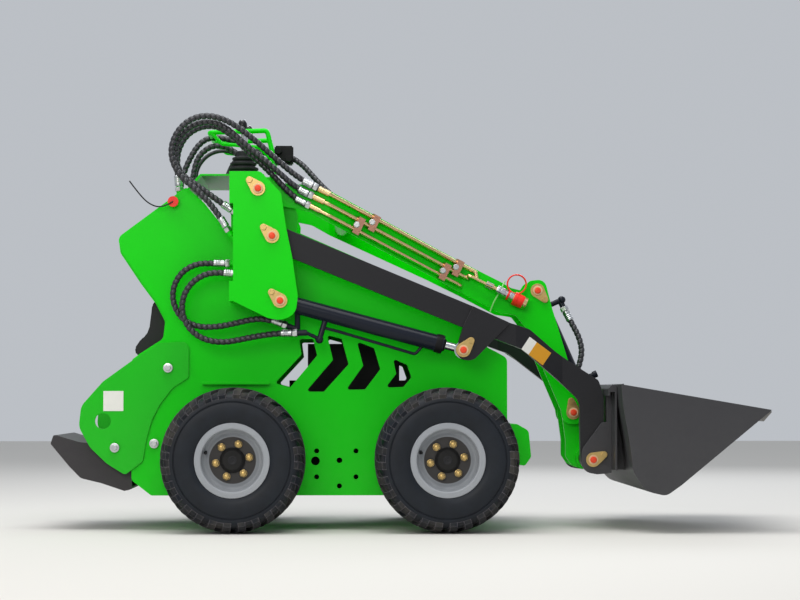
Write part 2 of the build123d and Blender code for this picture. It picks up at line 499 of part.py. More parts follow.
pipes = Part()
for drop, x0, x1 in PIPE_RUNS:
    rows = [(x0, -PIPE_Y, boom_line(x0, drop), 0), (BOOM_TAPER_X0 + 2, -PIPE_Y, boom_line(BOOM_TAPER_X0 + 2, drop), 40)]
    if x1 > BOOM_TAPER_X1 + 2:
        rows += [(BOOM_TAPER_X1 + 2, -(BOOM_FRONT_OUT + PIPE_STAND), boom_line(BOOM_TAPER_X1 + 2, drop), 20)]
    rows += [(x1, -(boom_half(x1) + PIPE_STAND), boom_line(x1, drop), 6)]
    if drop > 20:
        slant = PIPE_R * tan(TAPER) if x1 < BOOM_TAPER_X1 else 0
        rows += [(x1, -(boom_half(x1) + slant + 0.3), boom_line(x1, drop), 0)]
    else:
        rows += [(x1 + 4, coupler_y + 4, boom_line(x1 + 4, COUPLER_DROP), 0)]
    ferrule = stub(rows[1][:3], rows[0][:3], -40, FERRULE_R)
    pipes += pipe(rows, PIPE_R) + ferrule
short = [on_coupler(COUPLER_X[0]), on_coupler(COUPLER_X[1])]
pipes += pipe([(COUPLER_X[0], -(BOOM_FRONT_OUT + 0.2), short[0][2], 0), (*short[0], 9), (*short[1], 0)], PIPE_R)
for k, r in enumerate((11.5, 8.5, 14.5, 21.0)):
    pipes += bar(on_coupler(COUPLER_X[k + 1]), on_coupler(COUPLER_X[k + 2]), r)
nodes["boom_pipes"] = pipes

# Clamps, each over two neighbouring pipes: place along the boom, upper pipe
clamps = Part()
for x, upper in ((389, 1), (439, 0), (672, 1), (716, 0)):
    d0, d1 = PIPE_RUNS[upper][0], PIPE_RUNS[upper + 1][0]
    clamp = Pos(0, -10, 0) * Box(24, 20, (d1 - d0) * cos(radians(FALL)) + 24)
    clamps += Pos(x, -boom_half(x), boom_line(x, (d0 + d1) / 2)) * Rot(0, FALL, 0) * Rot(0, 0, degrees(TAPER)) * clamp
nodes["pipe_clamps"] = clamps - pipes - boom

# ---------------------------------------------------------------- front link
LINK_PROFILE = [(1068, 366, 0), (1079, 284, 30), (1079, 230, 20), (1096, 205, 20), (1128, 188.5, 30), (1184.5, 188, 36), (1184.5, 232, 16),
                (1140, 366, 20), (1141, 412, 35), (1066, 412, 35)]
link_face = outline(LINK_PROFILE)
link = both(link_face, LINK_IN, LINK_OUT)
link += ring(PIN_D, 37, CROSS_TUBE_R + RUN, -LINK_OUT - 25, LINK_OUT + 25)
link -= disc(PIN_D, CROSS_TUBE_R + RUN, -200, 200)
link -= disc(PIN_C, PIN_R_SMALL + RUN, -200, 200)
nodes["front_link"] = link

# ---------------------------------------------------------------- hitch and bucket
bush = ring(PIN_D, PIN_R_BIG + BUSH_WALL, PIN_R_BIG + RUN, -EAR_IN, -EAR_OUT)
nodes["hitch_bushes"] = bush + mirrored(bush)

EAR_PROFILE = [(HITCH_X0, 346, 0), (1176, 344, 8), (1112, 258, 30), (1110, 187, 37), (1160, 178, 12), (1186, 180, 8), (HITCH_X1, 183, 0), (HITCH_X1, 346, 0)]
hitch = both(outline(EAR_PROFILE), EAR_IN, EAR_OUT)
for side in (-1, 1):
    hitch -= disc(PIN_D, PIN_R_BIG + BUSH_WALL + RUN, side * (EAR_IN - 1), side * (EAR_OUT + 1))
plate_face = outline([(HITCH_X0, 183, 0), (HITCH_X1, 183, 0), (HITCH_X1, 440, 0), (HITCH_X0, 440, 4)])
hitch += across(plate_face, -EAR_OUT, EAR_OUT)
# windows that let the link and the boom's nose past when the arms are up
window = outline([(HITCH_X0 - 1, 300, 0), (HITCH_X1 + 1, 300, 0), (HITCH_X1 + 1, 445, 0), (HITCH_X0 - 1, 445, 0)])
hitch -= both(window, WINDOW_IN, WINDOW_OUT)
e_face = make_hull((Pos(*PIN_E) * Circle(30)).edges() + [Edge.make_line((HITCH_X0 + 2, 325), (HITCH_X0 + 2, 427))])
hitch += both(e_face, 24, 36)
for side in (-1, 1):
    hitch += retainer(PIN_E, 200, 36, side, reach=30)
nodes["hitch"] = hitch

BUCKET_OUTER = [(MOUNT_X1, 466, 0), (1218, 400, 60), (1238, 285, 200), (1250, 190, 60), (1290, 132, 60), (1352, 118, 34), (1400, 152, 0), (1650, 357, 0)]
BUCKET_INNER = [(1645, 365, 0), (1395, 160, 0), (1351, 128, 26), (1294, 140, 52), (1258, 192, 52), (1246, 287, 200), (1226, 402, 60),
                (MOUNT_X1 + 8, 468, 0)]
shell = across(outline(BUCKET_OUTER + BUCKET_INNER), -(BUCKET_HALF - BUCKET_T), BUCKET_HALF - BUCKET_T)
SIDE_CHEEK = [(MOUNT_X1, 466, 0), (X_EDGE_TIP, 386, 0), (1400, 152, 0), (1352, 118, 34), (1290, 132, 60), (1250, 190, 60), (1238, 285, 200), (1218, 400, 60)]
cheek = across(outline(SIDE_CHEEK), -(BUCKET_HALF - BUCKET_T), -BUCKET_HALF)
nodes["bucket"] = shell + cheek + mirrored(cheek)
nodes["cutting_edge"] = across(outline([(1650, 357, 0), (1659, 350, 0), (X_EDGE_TIP, 378, 0), (X_EDGE_TIP, 383, 0), (1643, 366, 0)]),
                               -(BUCKET_HALF - BUCKET_T), BUCKET_HALF - BUCKET_T) - shell
mount = across(outline([(HITCH_X1, 193, 0), (MOUNT_X1, 193, 0), (MOUNT_X1, 442, 0), (HITCH_X1, 442, 0)]), -MOUNT_HALF, MOUNT_HALF)
mount += across(outline([(1186, 430, 0), (1191, 430, 0), (1191, 442, 0), (MOUNT_X1, 442, 0), (MOUNT_X1, 462, 0), (1198, 466, 4), (1186, 452, 6)]),
                -MOUNT_HALF, MOUNT_HALF)
for y in (0, 150, 300):
    mount += both(outline([(MOUNT_X1 - 1, 193, 0), (1270, 193, 0), (1270, 300, 0), (1230, 420, 0), (MOUNT_X1 - 1, 430, 0)]), y - 4, y + 4)
notch = outline([(1180, 425, 0), (1191.5, 425, 0), (1191.5, 442, 0), (1180, 442, 0)])
mount -= both(notch, WINDOW_IN, WINDOW_OUT)
mount -= across(outline(BUCKET_OUTER + [(1640, 460, 0)]), -BUCKET_HALF, BUCKET_HALF)
nodes["bucket_mount"] = mount

# ---------------------------------------------------------------- cylinders
BARREL_R, LIFT_ROD_R = 27.0, 14.0
lift_dir = degrees(atan2(PIN_R[1] - PIN_L[1], PIN_R[0] - PIN_L[0]))
lift_len = hypot(PIN_R[0] - PIN_L[0], PIN_R[1] - PIN_L[1])
BARREL_END = 535.0
GLAND_R = 29.0


def along(at, angle, s, y=0.0):
    return (at[0] + s * cos(radians(angle)), y, at[1] + s * sin(radians(angle)))


def cylinder_pair(at, angle, length, y, barrel_r, rod_r, end, eye_r, eye_half, pin_r, pin_clear):
    """Barrel with a base eye, gland and bore; rod with piston side and solid eye."""
    barrel = bar(along(at, angle, 26, y), along(at, angle, end, y), barrel_r)
    barrel += bar(along(at, angle, end - 26, y), along(at, angle, end, y), barrel_r + 2.5)
    barrel += disc(at, eye_r, y - eye_half, y + eye_half)
    barrel -= disc(at, pin_r + pin_clear, y - barrel_r - 5, y + barrel_r + 5)
    barrel -= bar(along(at, angle, 60, y), along(at, angle, end + 5, y), rod_r + RUN)
    rod = bar(along(at, angle, 70, y), along(at, angle, length - 20, y), rod_r)
    tip = (at[0] + length * cos(radians(angle)), at[1] + length * sin(radians(angle)))
    rod += disc(tip, eye_r - 2, y - eye_half, y + eye_half)
    return barrel, rod


barrel, rod = cylinder_pair(PIN_L, lift_dir, lift_len, -CYL_Y, BARREL_R, LIFT_ROD_R, BARREL_END, 30, 17, PIN_R_SMALL, RUN)
# ports under the barrel with their adapters
first, second = LOWER_HOSES[0], LOWER_HOSES[1]
ports = bar((200, -357, 700), (200, -357, 640), 9) + stub(first[-2], first[-1], 42, FERRULE_R)
ports += stub(second[-2], second[-1], 32, FERRULE_R) + bar((229, -378, 629), (270, -372, 610), 6)
ports += Pos(270, -372, 608) * Sphere(13) + bar((270, -372, 608), (290, -CYL_Y, 676), 9)
ports += pipe([(286, -CYL_Y, 645, 0), (330, -CYL_Y, 634, 20), (574, -CYL_Y, 562, 12), (600, -CYL_Y, 590, 0)], 5)
nodes["lift_barrel_right"], nodes["lift_rod_right"] = barrel + ports, rod
barrel += ports
nodes["lift_barrel_left"], nodes["lift_rod_left"] = mirrored(barrel), mirrored(rod)

tilt_dir = degrees(atan2(PIN_E[1] - PIN_T[1], PIN_E[0] - PIN_T[0]))
tilt_len = hypot(PIN_E[0] - PIN_T[0], PIN_E[1] - PIN_T[1])
barrel, rod = cylinder_pair(PIN_T, tilt_dir, tilt_len, 0.0, 28, 15, 352, 34, 20, PIN_R_BIG + BUSH_WALL, RUN)
# ports on the front of the barrel: the base one feeds the hose, the rod one is capped
out_dir = (-sin(radians(tilt_dir)), cos(radians(tilt_dir)))
for s, reach in ((60, 72), (332, 66)):
    root = along(PIN_T, tilt_dir, s)
    tip = (root[0] + out_dir[0] * reach, 0, root[2] + out_dir[1] * reach)
    barrel += bar((root[0] + out_dir[0] * 20, 0, root[2] + out_dir[1] * 20), tip, 9)
    if s == 60:
        barrel += Pos(*tip) * Sphere(13) + stub(TILT_HOSE[1], TILT_HOSE[0], 24, FERRULE_R)
    else:
        barrel += bar(tip, (tip[0] + out_dir[0] * 14, 0, tip[2] + out_dir[1] * 14), 12)
nodes["tilt_barrel"], nodes["tilt_rod"] = barrel, rod
nodes["tilt_bush"] = ring(PIN_T, PIN_R_BIG + BUSH_WALL, PIN_R_BIG + RUN, -20, 20)

# ---------------------------------------------------------------- hoses
for k, points in enumerate(UPPER_HOSES):
    nodes[f"upper_hose_{k + 1}"] = cord(f"upper_hose_{k + 1}", points, HOSE_R)
for k, points in enumerate(LOWER_HOSES):
    hose = cord(f"lower_hose_{k + 1}", points, HOSE_R)
    nodes[f"lower_hose_{k + 1}_right"] = hose
    nodes[f"lower_hose_{k + 1}_left"] = mirrored(hose)
nodes["valve_hose"] = cord("valve_hose", VALVE_HOSE, VALVE_HOSE_R)
nodes["tilt_hose"] = cord("tilt_hose", TILT_HOSE, HOSE_R)

# ---------------------------------------------------------------- export
os.makedirs("parts", exist_ok=True)
for name, solid in nodes.items():
    export_step(Pos(-MID_X, 0, 0) * solid, f"parts/{name}.step")
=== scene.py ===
import bpy
import bmesh
from math import cos, pi, radians, sin
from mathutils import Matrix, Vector


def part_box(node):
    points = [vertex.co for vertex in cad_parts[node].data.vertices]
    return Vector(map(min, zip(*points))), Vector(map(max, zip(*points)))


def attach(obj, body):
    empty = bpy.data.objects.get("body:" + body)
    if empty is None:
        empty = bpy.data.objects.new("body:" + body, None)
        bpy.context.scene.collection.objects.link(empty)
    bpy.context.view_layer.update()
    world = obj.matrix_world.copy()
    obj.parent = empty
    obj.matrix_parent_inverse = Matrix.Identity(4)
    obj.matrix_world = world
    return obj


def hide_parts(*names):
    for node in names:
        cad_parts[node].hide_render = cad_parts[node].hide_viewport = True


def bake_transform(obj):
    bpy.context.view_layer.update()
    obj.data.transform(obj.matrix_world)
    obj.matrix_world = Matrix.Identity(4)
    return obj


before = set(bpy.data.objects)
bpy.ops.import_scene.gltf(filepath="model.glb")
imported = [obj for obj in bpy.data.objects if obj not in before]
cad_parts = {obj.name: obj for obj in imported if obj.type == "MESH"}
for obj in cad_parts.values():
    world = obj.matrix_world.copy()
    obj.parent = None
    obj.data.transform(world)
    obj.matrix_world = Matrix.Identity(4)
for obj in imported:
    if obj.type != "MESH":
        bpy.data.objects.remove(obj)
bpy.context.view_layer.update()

# ---------------------------------------------------------------- view and light
# The viewer looks at the machine's right-hand side from nearly 8 m off, level with the tops of the wheels.
# The light is an even overcast sky with three broad soft panels: overhead, in front and behind.
CAMERA_AT = (-0.213, -7.822, 0.435)
CAMERA_TO = (-0.024, -0.522, 0.728)
FOCAL_MM = 105.6
SKY_STRENGTH = 0.62
# Panel, its place, what it faces, width, depth, watts and tint
PANELS = [("overhead", (-0.6, -0.9, 4.2), (0.0, 0.0, 0.4), 4.5, 2.6, 150, "#ffffff"),
          ("front_fill", (-1.8, -5.5, 2.6), (0.0, 0.0, 0.5), 3.5, 2.2, 95, "#fffaf2"),
          ("back_rim", (1.4, 4.8, 3.4), (0.0, 0.0, 0.6), 3.5, 2.0, 80, "#f4f8ff")]


def linear(hex_code):
    """sRGB hex to linear RGBA."""
    parts = [int(hex_code[i:i + 2], 16) / 255 for i in (1, 3, 5)]
    return [c / 12.92 if c <= 0.04045 else ((c + 0.055) / 1.055) ** 2.4 for c in parts] + [1.0]


def add_node(tree, kind, settings=(), links=()):
    """One node: settings by attribute or input name, then links from other nodes' outputs."""
    made = tree.nodes.new(kind)
    for key, value in dict(settings).items():
        if isinstance(key, str) and hasattr(made, key):
            setattr(made, key, value)
        else:
            made.inputs[key].default_value = value
    for key, output in dict(links).items():
        tree.links.new(output, made.inputs[key])
    return made


def soft_panel(name, at, towards, width, depth, watts, hex_code):
    lamp = bpy.data.lights.new(name, "AREA")
    lamp.shape = "RECTANGLE"
    lamp.size, lamp.size_y, lamp.energy = width, depth, watts
    lamp.color = linear(hex_code)[:3]
    panel = bpy.data.objects.new(name, lamp)
    panel.location = at
    panel.rotation_euler = (Vector(towards) - Vector(at)).to_track_quat("-Z", "Y").to_euler()
    bpy.context.scene.collection.objects.link(panel)


camera = bpy.data.objects.new("camera", bpy.data.cameras.new("camera"))
camera.data.lens = FOCAL_MM
camera.location = CAMERA_AT
camera.rotation_euler = (Vector(CAMERA_TO) - Vector(CAMERA_AT)).to_track_quat("-Z", "Y").to_euler()
bpy.context.scene.collection.objects.link(camera)
bpy.context.scene.camera = camera
bpy.context.scene.view_settings.view_transform = "Standard"

sky = bpy.data.worlds.new("overcast")
sky.use_nodes = True
sky.node_tree.nodes["Background"].inputs["Color"].default_value = linear("#e8edf4")
sky.node_tree.nodes["Background"].inputs["Strength"].default_value = SKY_STRENGTH
bpy.context.scene.world = sky
for panel in PANELS:
    soft_panel(*panel)

# ---------------------------------------------------------------- floor
# Plain pale ground under the wheels, large enough to fill every view.
# Its matt, slightly warm finish takes soft shadows and shows no gloss.
FLOOR_HALF = 14.0


def new_material(name):
    """Material with its node tree and its main shader."""
    made = bpy.data.materials.new(name)
    made.use_nodes = True
    return made, made.node_tree, made.node_tree.nodes["Principled BSDF"]


floor_mesh = bpy.data.meshes.new("floor")
floor_mesh.from_pydata([(-FLOOR_HALF, -FLOOR_HALF, 0), (FLOOR_HALF, -FLOOR_HALF, 0),
                        (FLOOR_HALF, FLOOR_HALF, 0), (-FLOOR_HALF, FLOOR_HALF, 0)], [], [(0, 1, 2, 3)])
floor = bpy.data.objects.new("floor", floor_mesh)
bpy.context.scene.collection.objects.link(floor)
plaster, tree, body = new_material("pale_matt_floor")
body.inputs["Base Color"].default_value = linear("#d9d6d0")
body.inputs["Roughness"].default_value = 0.85
floor_mesh.materials.append(plaster)

# ---------------------------------------------------------------- tyres
# Moulded natural-rubber tyres: a bulging sidewall with a moulded ring, and chunky lugs in pairs that wrap
# the shoulder and slant towards the middle of the tread. Lugs on the two halves are staggered.
TREAD_R = 0.2282
TREAD_HALF = 0.1079
TREAD_STARTS = 0.1975
LUG_PAIRS = 14
SEGMENTS = 144
# Dust on the carcass between the lugs, against 1 on the lugs
CARCASS_DUST = 0.3
# Carcass from the bead to the crown: radius, distance from the tyre's middle
CARCASS = [
    (0.1020, 0.0860), (0.1060, 0.0930), (0.1170, 0.0985), (0.1220, 0.1030), (0.1360, 0.1062),
    (0.1560, 0.1074), (0.1720, 0.1068), (0.1800, 0.1052), (0.1815, 0.1030), (0.1832, 0.1030),
    (0.1846, 0.1056), (0.1900, 0.1058), (0.1960, 0.1040), (0.2020, 0.1000), (0.2080, 0.0920),
    (0.2125, 0.0800), (0.2155, 0.0600), (0.2172, 0.0300), (0.2176, 0.0)
]
# One lug from its foot on the shoulder to the crown: radius, distance from the middle, height, turn in
# degrees
LUG = [
    (0.1945, 0.1046, 0.0012, 0.0), (0.2010, 0.1008, 0.0078, 0.0), (0.2075, 0.0930, 0.0106, 0.3),
    (0.2125, 0.0800, 0.0112, 1.2), (0.2155, 0.0600, 0.0108, 3.6), (0.2170, 0.0330, 0.0104, 7.0),
    (0.2175, 0.0070, 0.0104, 9.0)
]
# Low bar that ties two lugs at the shoulder, given as the lug is
TIE = [
    (0.1950, 0.1044, 0.0008, 0.0), (0.2010, 0.1008, 0.0034, 0.0), (0.2060, 0.0950, 0.0040, 0.2),
    (0.2105, 0.0860, 0.0030, 0.6)
]
# Half a lug's angle in degrees, what the top keeps of it, what the tie bar keeps of it
LUG_HALF_ANGLE = 3.9
LUG_TOP = 0.80
TIE_WIDTH = 0.9
# How far a lug's foot is sunk in the carcass, inwards and sideways
FOOT_DOWN, FOOT_IN = 0.003, 0.001
# Each wheel stands turned a little further than the last, in radians
TURN_APART = 0.07
# Painted pale highlight along a lug's edge, about 3 mm wide
LUG_HIGHLIGHT_WIDTH = 0.0032


def made_piece(name, mesh_or_bmesh, material, crease=35, recalc=True):
    """Object at the origin from a mesh or a bmesh, with its material. crease is the sharpest smooth angle."""
    if isinstance(mesh_or_bmesh, bmesh.types.BMesh):
        if recalc:
            bmesh.ops.recalc_face_normals(mesh_or_bmesh, faces=mesh_or_bmesh.faces)
        mesh = bpy.data.meshes.new(name)
        mesh_or_bmesh.to_mesh(mesh)
        mesh_or_bmesh.free()
    else:
        mesh = mesh_or_bmesh
    mesh.shade_smooth()
    mesh.set_sharp_from_angle(angle=radians(crease))
    mesh.materials.clear()
    mesh.materials.append(material)
    piece = bpy.data.objects.new(name, mesh)
    bpy.context.scene.collection.objects.link(piece)
    return piece


def geometry_tree(name, inputs):
    """Empty Geometry Nodes tree with its named inputs, and its two end nodes."""
    tree = bpy.data.node_groups.new(name, "GeometryNodeTree")
    tree.interface.new_socket("Geometry", in_out="INPUT", socket_type="NodeSocketGeometry")
    for label, kind in inputs:
        tree.interface.new_socket(label, in_out="INPUT", socket_type="NodeSocket" + kind)
    tree.interface.new_socket("Geometry", in_out="OUTPUT", socket_type="NodeSocketGeometry")
    return tree, tree.nodes.new("NodeGroupInput"), tree.nodes.new("NodeGroupOutput")


def grown(name, seed, tree, values, material, crease=35):
    """Plain piece from a seed mesh and a Geometry Nodes tree with these input values."""
    holder = bpy.data.objects.new(name, seed)
    bpy.context.scene.collection.objects.link(holder)
    grow = holder.modifiers.new("grow", "NODES")
    grow.node_group = tree
    for socket in tree.interface.items_tree:
        if socket.in_out == "INPUT" and socket.name in values:
            grow[socket.identifier] = values[socket.name]
        if socket.in_out == "INPUT" and socket.name == "Material":
            grow[socket.identifier] = material
    bpy.context.view_layer.update()
    mesh = bpy.data.meshes.new_from_object(holder.evaluated_get(bpy.context.evaluated_depsgraph_get()))
    bpy.data.objects.remove(holder)
    return made_piece(name, mesh, material, crease)


def instance_out(tree, ends_in, ends_out, points, rotation):
    """Ends a tree: the element on each point with its rotation, made real, in the material."""
    source = add_node(tree, "GeometryNodeObjectInfo", (), {"Object": ends_in.outputs["Element"]})
    placed = add_node(tree, "GeometryNodeInstanceOnPoints", (),
                      {"Points": points, "Instance": source.outputs["Geometry"], "Rotation": rotation})
    real = add_node(tree, "GeometryNodeRealizeInstances", (), {0: placed.outputs[0]})
    coated = add_node(tree, "GeometryNodeSetMaterial", (),
                      {0: real.outputs[0], "Material": ends_in.outputs["Material"]})
    tree.links.new(coated.outputs[0], ends_out.inputs[0])


def element(name, shape):
    """Hidden object that holds a repeated shape, for Geometry Nodes to read."""
    bmesh.ops.recalc_face_normals(shape, faces=shape.faces)
    mesh = bpy.data.meshes.new(name)
    shape.to_mesh(mesh)
    shape.free()
    return bpy.data.objects.new(name, mesh)


# Tree that repeats an element round an axle that runs across the machine
round_axle, ends_in, ends_out = geometry_tree("round_the_axle", [
    ("Element", "Object"), ("Count", "Int"), ("First turn", "Float"), ("Axle", "Vector"),
    ("Material", "Material")])
line = add_node(round_axle, "GeometryNodeMeshLine", {"Offset": (0, 0, 0)},
                {"Count": ends_in.outputs["Count"], "Start Location": ends_in.outputs["Axle"]})
index = add_node(round_axle, "GeometryNodeInputIndex")
pitch = add_node(round_axle, "ShaderNodeMath", {"operation": "DIVIDE", 0: 2 * pi},
                 {1: ends_in.outputs["Count"]})
angle = add_node(round_axle, "ShaderNodeMath", {"operation": "MULTIPLY_ADD"},
                 {0: index.outputs[0], 1: pitch.outputs[0], 2: ends_in.outputs["First turn"]})
turn = add_node(round_axle, "ShaderNodeCombineXYZ", (), {"Y": angle.outputs[0]})
instance_out(round_axle, ends_in, ends_out, line.outputs[0], turn.outputs[0])


def noise(tree, place, scale, detail, roughness=0.5):
    """Noise through the piece, from 0 to 1. scale counts its cells in a metre: 350 is a 3 mm grain."""
    return add_node(tree, "ShaderNodeTexNoise", {"Scale": scale, "Detail": detail, "Roughness": roughness},
                    {"Vector": place.outputs["Object"]}).outputs["Fac"]


def edge_highlight_mask(tree, radius, samples, flat, sharp, most):
    """Mask for sharp edges where a painted highlight goes, from 0 on a flat to most on an edge, with the
    rounded normal there.
    """
    rounded = add_node(tree, "ShaderNodeBevel", {"samples": samples, "Radius": radius})
    true_face = add_node(tree, "ShaderNodeNewGeometry")
    facing = add_node(tree, "ShaderNodeVectorMath", {"operation": "DOT_PRODUCT"},
                      {0: rounded.outputs["Normal"], 1: true_face.outputs["Normal"]})
    mask = add_node(tree, "ShaderNodeMapRange", {"From Min": flat, "From Max": sharp, "To Max": most},
                    {"Value": facing.outputs["Value"]})
    return mask.outputs[0], rounded.outputs["Normal"]


def relieve(tree, shader, height, strength, distance, normal=None):
    """Fine relief on a shader from a height, over a normal of its own if one is given."""
    links = {"Height": height} if normal is None else {"Height": height, "Normal": normal}
    relief = add_node(tree, "ShaderNodeBump", {"Strength": strength, "Distance": distance}, links)
    tree.links.new(relief.outputs[0], shader.inputs["Normal"])


# Carbon-black natural rubber from the mould: soft grey-blue sheen on the sidewall, dull dusty lugs, and a
# painted pale highlight along the lugs' edges
rubber, tree, body = new_material("moulded_tyre_rubber")
body.inputs["Specular IOR Level"].default_value = 0.25
place = add_node(tree, "ShaderNodeTexCoord")
worn = add_node(tree, "ShaderNodeAttribute", {"attribute_name": "tread"}).outputs["Fac"]
tone = add_node(tree, "ShaderNodeMix", {"data_type": "RGBA", 6: linear("#0e1116"), 7: linear("#1a2029")},
                {0: noise(tree, place, 26.0, 5.0)})
dirt = add_node(tree, "ShaderNodeMapRange", {"From Min": 0.42, "From Max": 0.70, "To Max": 0.75},
                {"Value": noise(tree, place, 9.0, 8.0, 0.72)})
dusty = add_node(tree, "ShaderNodeMath", {"operation": "MULTIPLY"}, {0: dirt.outputs[0], 1: worn})
soiled = add_node(tree, "ShaderNodeMix", {"data_type": "RGBA", 7: linear("#4b4740")},
                  {0: dusty.outputs[0], 6: tone.outputs[2]})
# Painted highlight: the lugs' edges are coloured pale grey where light would catch them
edge = edge_highlight_mask(tree, LUG_HIGHLIGHT_WIDTH, 6, 0.99, 0.82, 0.6)[0]
lug_edge_highlight = add_node(tree, "ShaderNodeMath", {"operation": "MULTIPLY"}, {0: edge, 1: worn})
with_lug_highlight = add_node(tree, "ShaderNodeMix", {"data_type": "RGBA", 7: linear("#7b767c")},
                  {0: lug_edge_highlight.outputs[0], 6: soiled.outputs[2]})
tree.links.new(with_lug_highlight.outputs[2], body.inputs["Base Color"])
rough = add_node(tree, "ShaderNodeMapRange", {"To Min": 0.46, "To Max": 0.86}, {"Value": worn})
tree.links.new(rough.outputs[0], body.inputs["Roughness"])
relieve(tree, body, noise(tree, place, 350.0, 3.0), 0.25, 0.0006)


def bridge(shape, rows):
    """Faces between each closed row of corners and the next."""
    for a, b in zip(rows, rows[1:]):
        for k in range(len(a)):
            j = (k + 1) % len(a)
            shape.faces.new((a[k], a[j], b[j], b[k]))


def carcass_mesh(axle, middle_y):
    """Ring of the tyre's body about its axle, closed on the rim side."""
    shape = bmesh.new()
    tread = shape.verts.layers.float.new("tread")
    rows = [(r, -w) for r, w in CARCASS] + [(r, w) for r, w in CARCASS[-2::-1]]
    rings = []
    for r, w in rows:
        ring = []
        for k in range(SEGMENTS):
            a = 2 * pi * k / SEGMENTS
            v = shape.verts.new((axle.x + r * cos(a), middle_y + w, axle.z + r * sin(a)))
            v[tread] = CARCASS_DUST if r > TREAD_STARTS else 0.0
            ring.append(v)
        rings.append(ring)
    bridge(shape, rings + rings[:1])
    return shape


def add_lug(shape, rows, start, half_angle, side):
    """One lug over the carcass: a base and a narrower top at each row, bridged and capped."""
    tread = shape.verts.layers.float.get("tread") or shape.verts.layers.float.new("tread")
    loops = []
    for i, (r, w, height, turn) in enumerate(rows):
        before, after = rows[max(i - 1, 0)], rows[min(i + 1, len(rows) - 1)]
        out = Vector((before[1] - after[1], after[0] - before[0])).normalized()
        top = (min(r + out.x * height, TREAD_R), min(w + out.y * height, TREAD_HALF))
        foot = (r - FOOT_DOWN, w - FOOT_IN)
        corners = []
        for (rr, ww), da in ((foot, -half_angle), (top, -half_angle * LUG_TOP),
                             (top, half_angle * LUG_TOP), (foot, half_angle)):
            a = radians(start + turn + da)
            v = shape.verts.new((rr * sin(a), -side * ww, rr * cos(a)))
            v[tread] = 1.0
            corners.append(v)
        loops.append(corners)
    bridge(shape, loops)
    shape.faces.new(loops[0])
    shape.faces.new(loops[-1])


def joined(name, pieces, material, crease=35):
    """Several plain pieces made one."""
    shape = bmesh.new()
    for piece in pieces:
        shape.from_mesh(piece.data)
        bpy.data.objects.remove(piece)
    return made_piece(name, shape, material, crease, recalc=False)


lugs = bmesh.new()
lug_pitch = 360 / LUG_PAIRS
for side, stagger in ((1, 0.0), (-1, lug_pitch / 4)):
    for k in range(2):
        add_lug(lugs, LUG, stagger + k * lug_pitch / 2, LUG_HALF_ANGLE, side)
    add_lug(lugs, TIE, stagger + lug_pitch / 4, LUG_HALF_ANGLE * TIE_WIDTH, side)
lug_element = element("lug_pair", lugs)
WHEELS = ("rear_right", "front_right", "rear_left", "front_left")
axle_of = {}
for corner in WHEELS:
    low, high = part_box("tyre_" + corner)
    axle = Vector(((low[0] + high[0]) / 2, 0, (low[2] + high[2]) / 2))
    axle_of[corner] = axle
    middle_y = (low[1] + high[1]) / 2
    ring = made_piece("carcass", carcass_mesh(axle, middle_y), rubber)
    lug_ring = grown("lugs", bpy.data.meshes.new("seed"), round_axle, {
        "Element": lug_element, "Count": LUG_PAIRS, "First turn": TURN_APART * len(axle_of),
        "Axle": (axle.x, middle_y, axle.z)}, rubber, 28)
    tyre = joined("tyre_tread_" + corner, [ring, lug_ring], rubber, 30)
    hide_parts("tyre_" + corner)
    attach(tyre, "wheel_" + corner)
bpy.data.objects.remove(lug_element)

# ---------------------------------------------------------------- frame, arms and bucket
# Laser-cut and folded steel plate, welded and then powder coated: green for the tub, tower and boom, slate
# for the step, warm grey for the lift arms, charcoal for the bucket. Only the bucket's cutting edge is bare.
COAT_GLOSS = 0.16
# How wide the painted pale highlight along a cut edge is, and how far it pales the coat
EDGE_R, EDGE_HIGHLIGHT = 0.0014, 0.55


def powder_coat(name, hex_code, highlight_hex, roughness, dust=0.10):
    """Even coat with a fine orange peel, a painted pale highlight along each cut edge, and dust low down."""
    made, t, out = new_material(name)
    out.inputs["Specular IOR Level"].default_value = COAT_GLOSS
    place = add_node(t, "ShaderNodeTexCoord")
    tone = add_node(t, "ShaderNodeMapRange", {"To Min": 0.93, "To Max": 1.05},
                    {"Value": noise(t, place, 7.0, 4.0)})
    # Painted highlight: the coat is mixed towards the paler highlight colour along each edge
    edge, rounded = edge_highlight_mask(t, EDGE_R, 4, 0.995, 0.85, EDGE_HIGHLIGHT)
    coat = add_node(t, "ShaderNodeMix", {"data_type": "RGBA", 6: linear(hex_code), 7: linear(highlight_hex)},
                    {0: edge})
    toned = add_node(t, "ShaderNodeVectorMath", {"operation": "SCALE"},
                     {0: coat.outputs[2], "Scale": tone.outputs[0]})
    parts = add_node(t, "ShaderNodeSeparateXYZ", (), {0: place.outputs["Object"]})
    low = add_node(t, "ShaderNodeMapRange", {"From Min": 0.5, "From Max": 0.05, "To Max": dust},
                   {"Value": parts.outputs["Z"]})
    settled = add_node(t, "ShaderNodeMath", {"operation": "MULTIPLY"},
                       {0: low.outputs[0], 1: noise(t, place, 55.0, 6.0, 0.7)})
    dusty = add_node(t, "ShaderNodeMix", {"data_type": "RGBA", 7: linear("#8d8a80")},
                     {0: settled.outputs[0], 6: toned.outputs[0]})
    t.links.new(dusty.outputs[2], out.inputs["Base Color"])
    rough_all = add_node(t, "ShaderNodeMath", {"operation": "ADD", 1: roughness}, {0: settled.outputs[0]})
    t.links.new(rough_all.outputs[0], out.inputs["Roughness"])
    relieve(t, out, noise(t, place, 420.0, 2.0), 0.12, 0.0004, rounded)
    return made


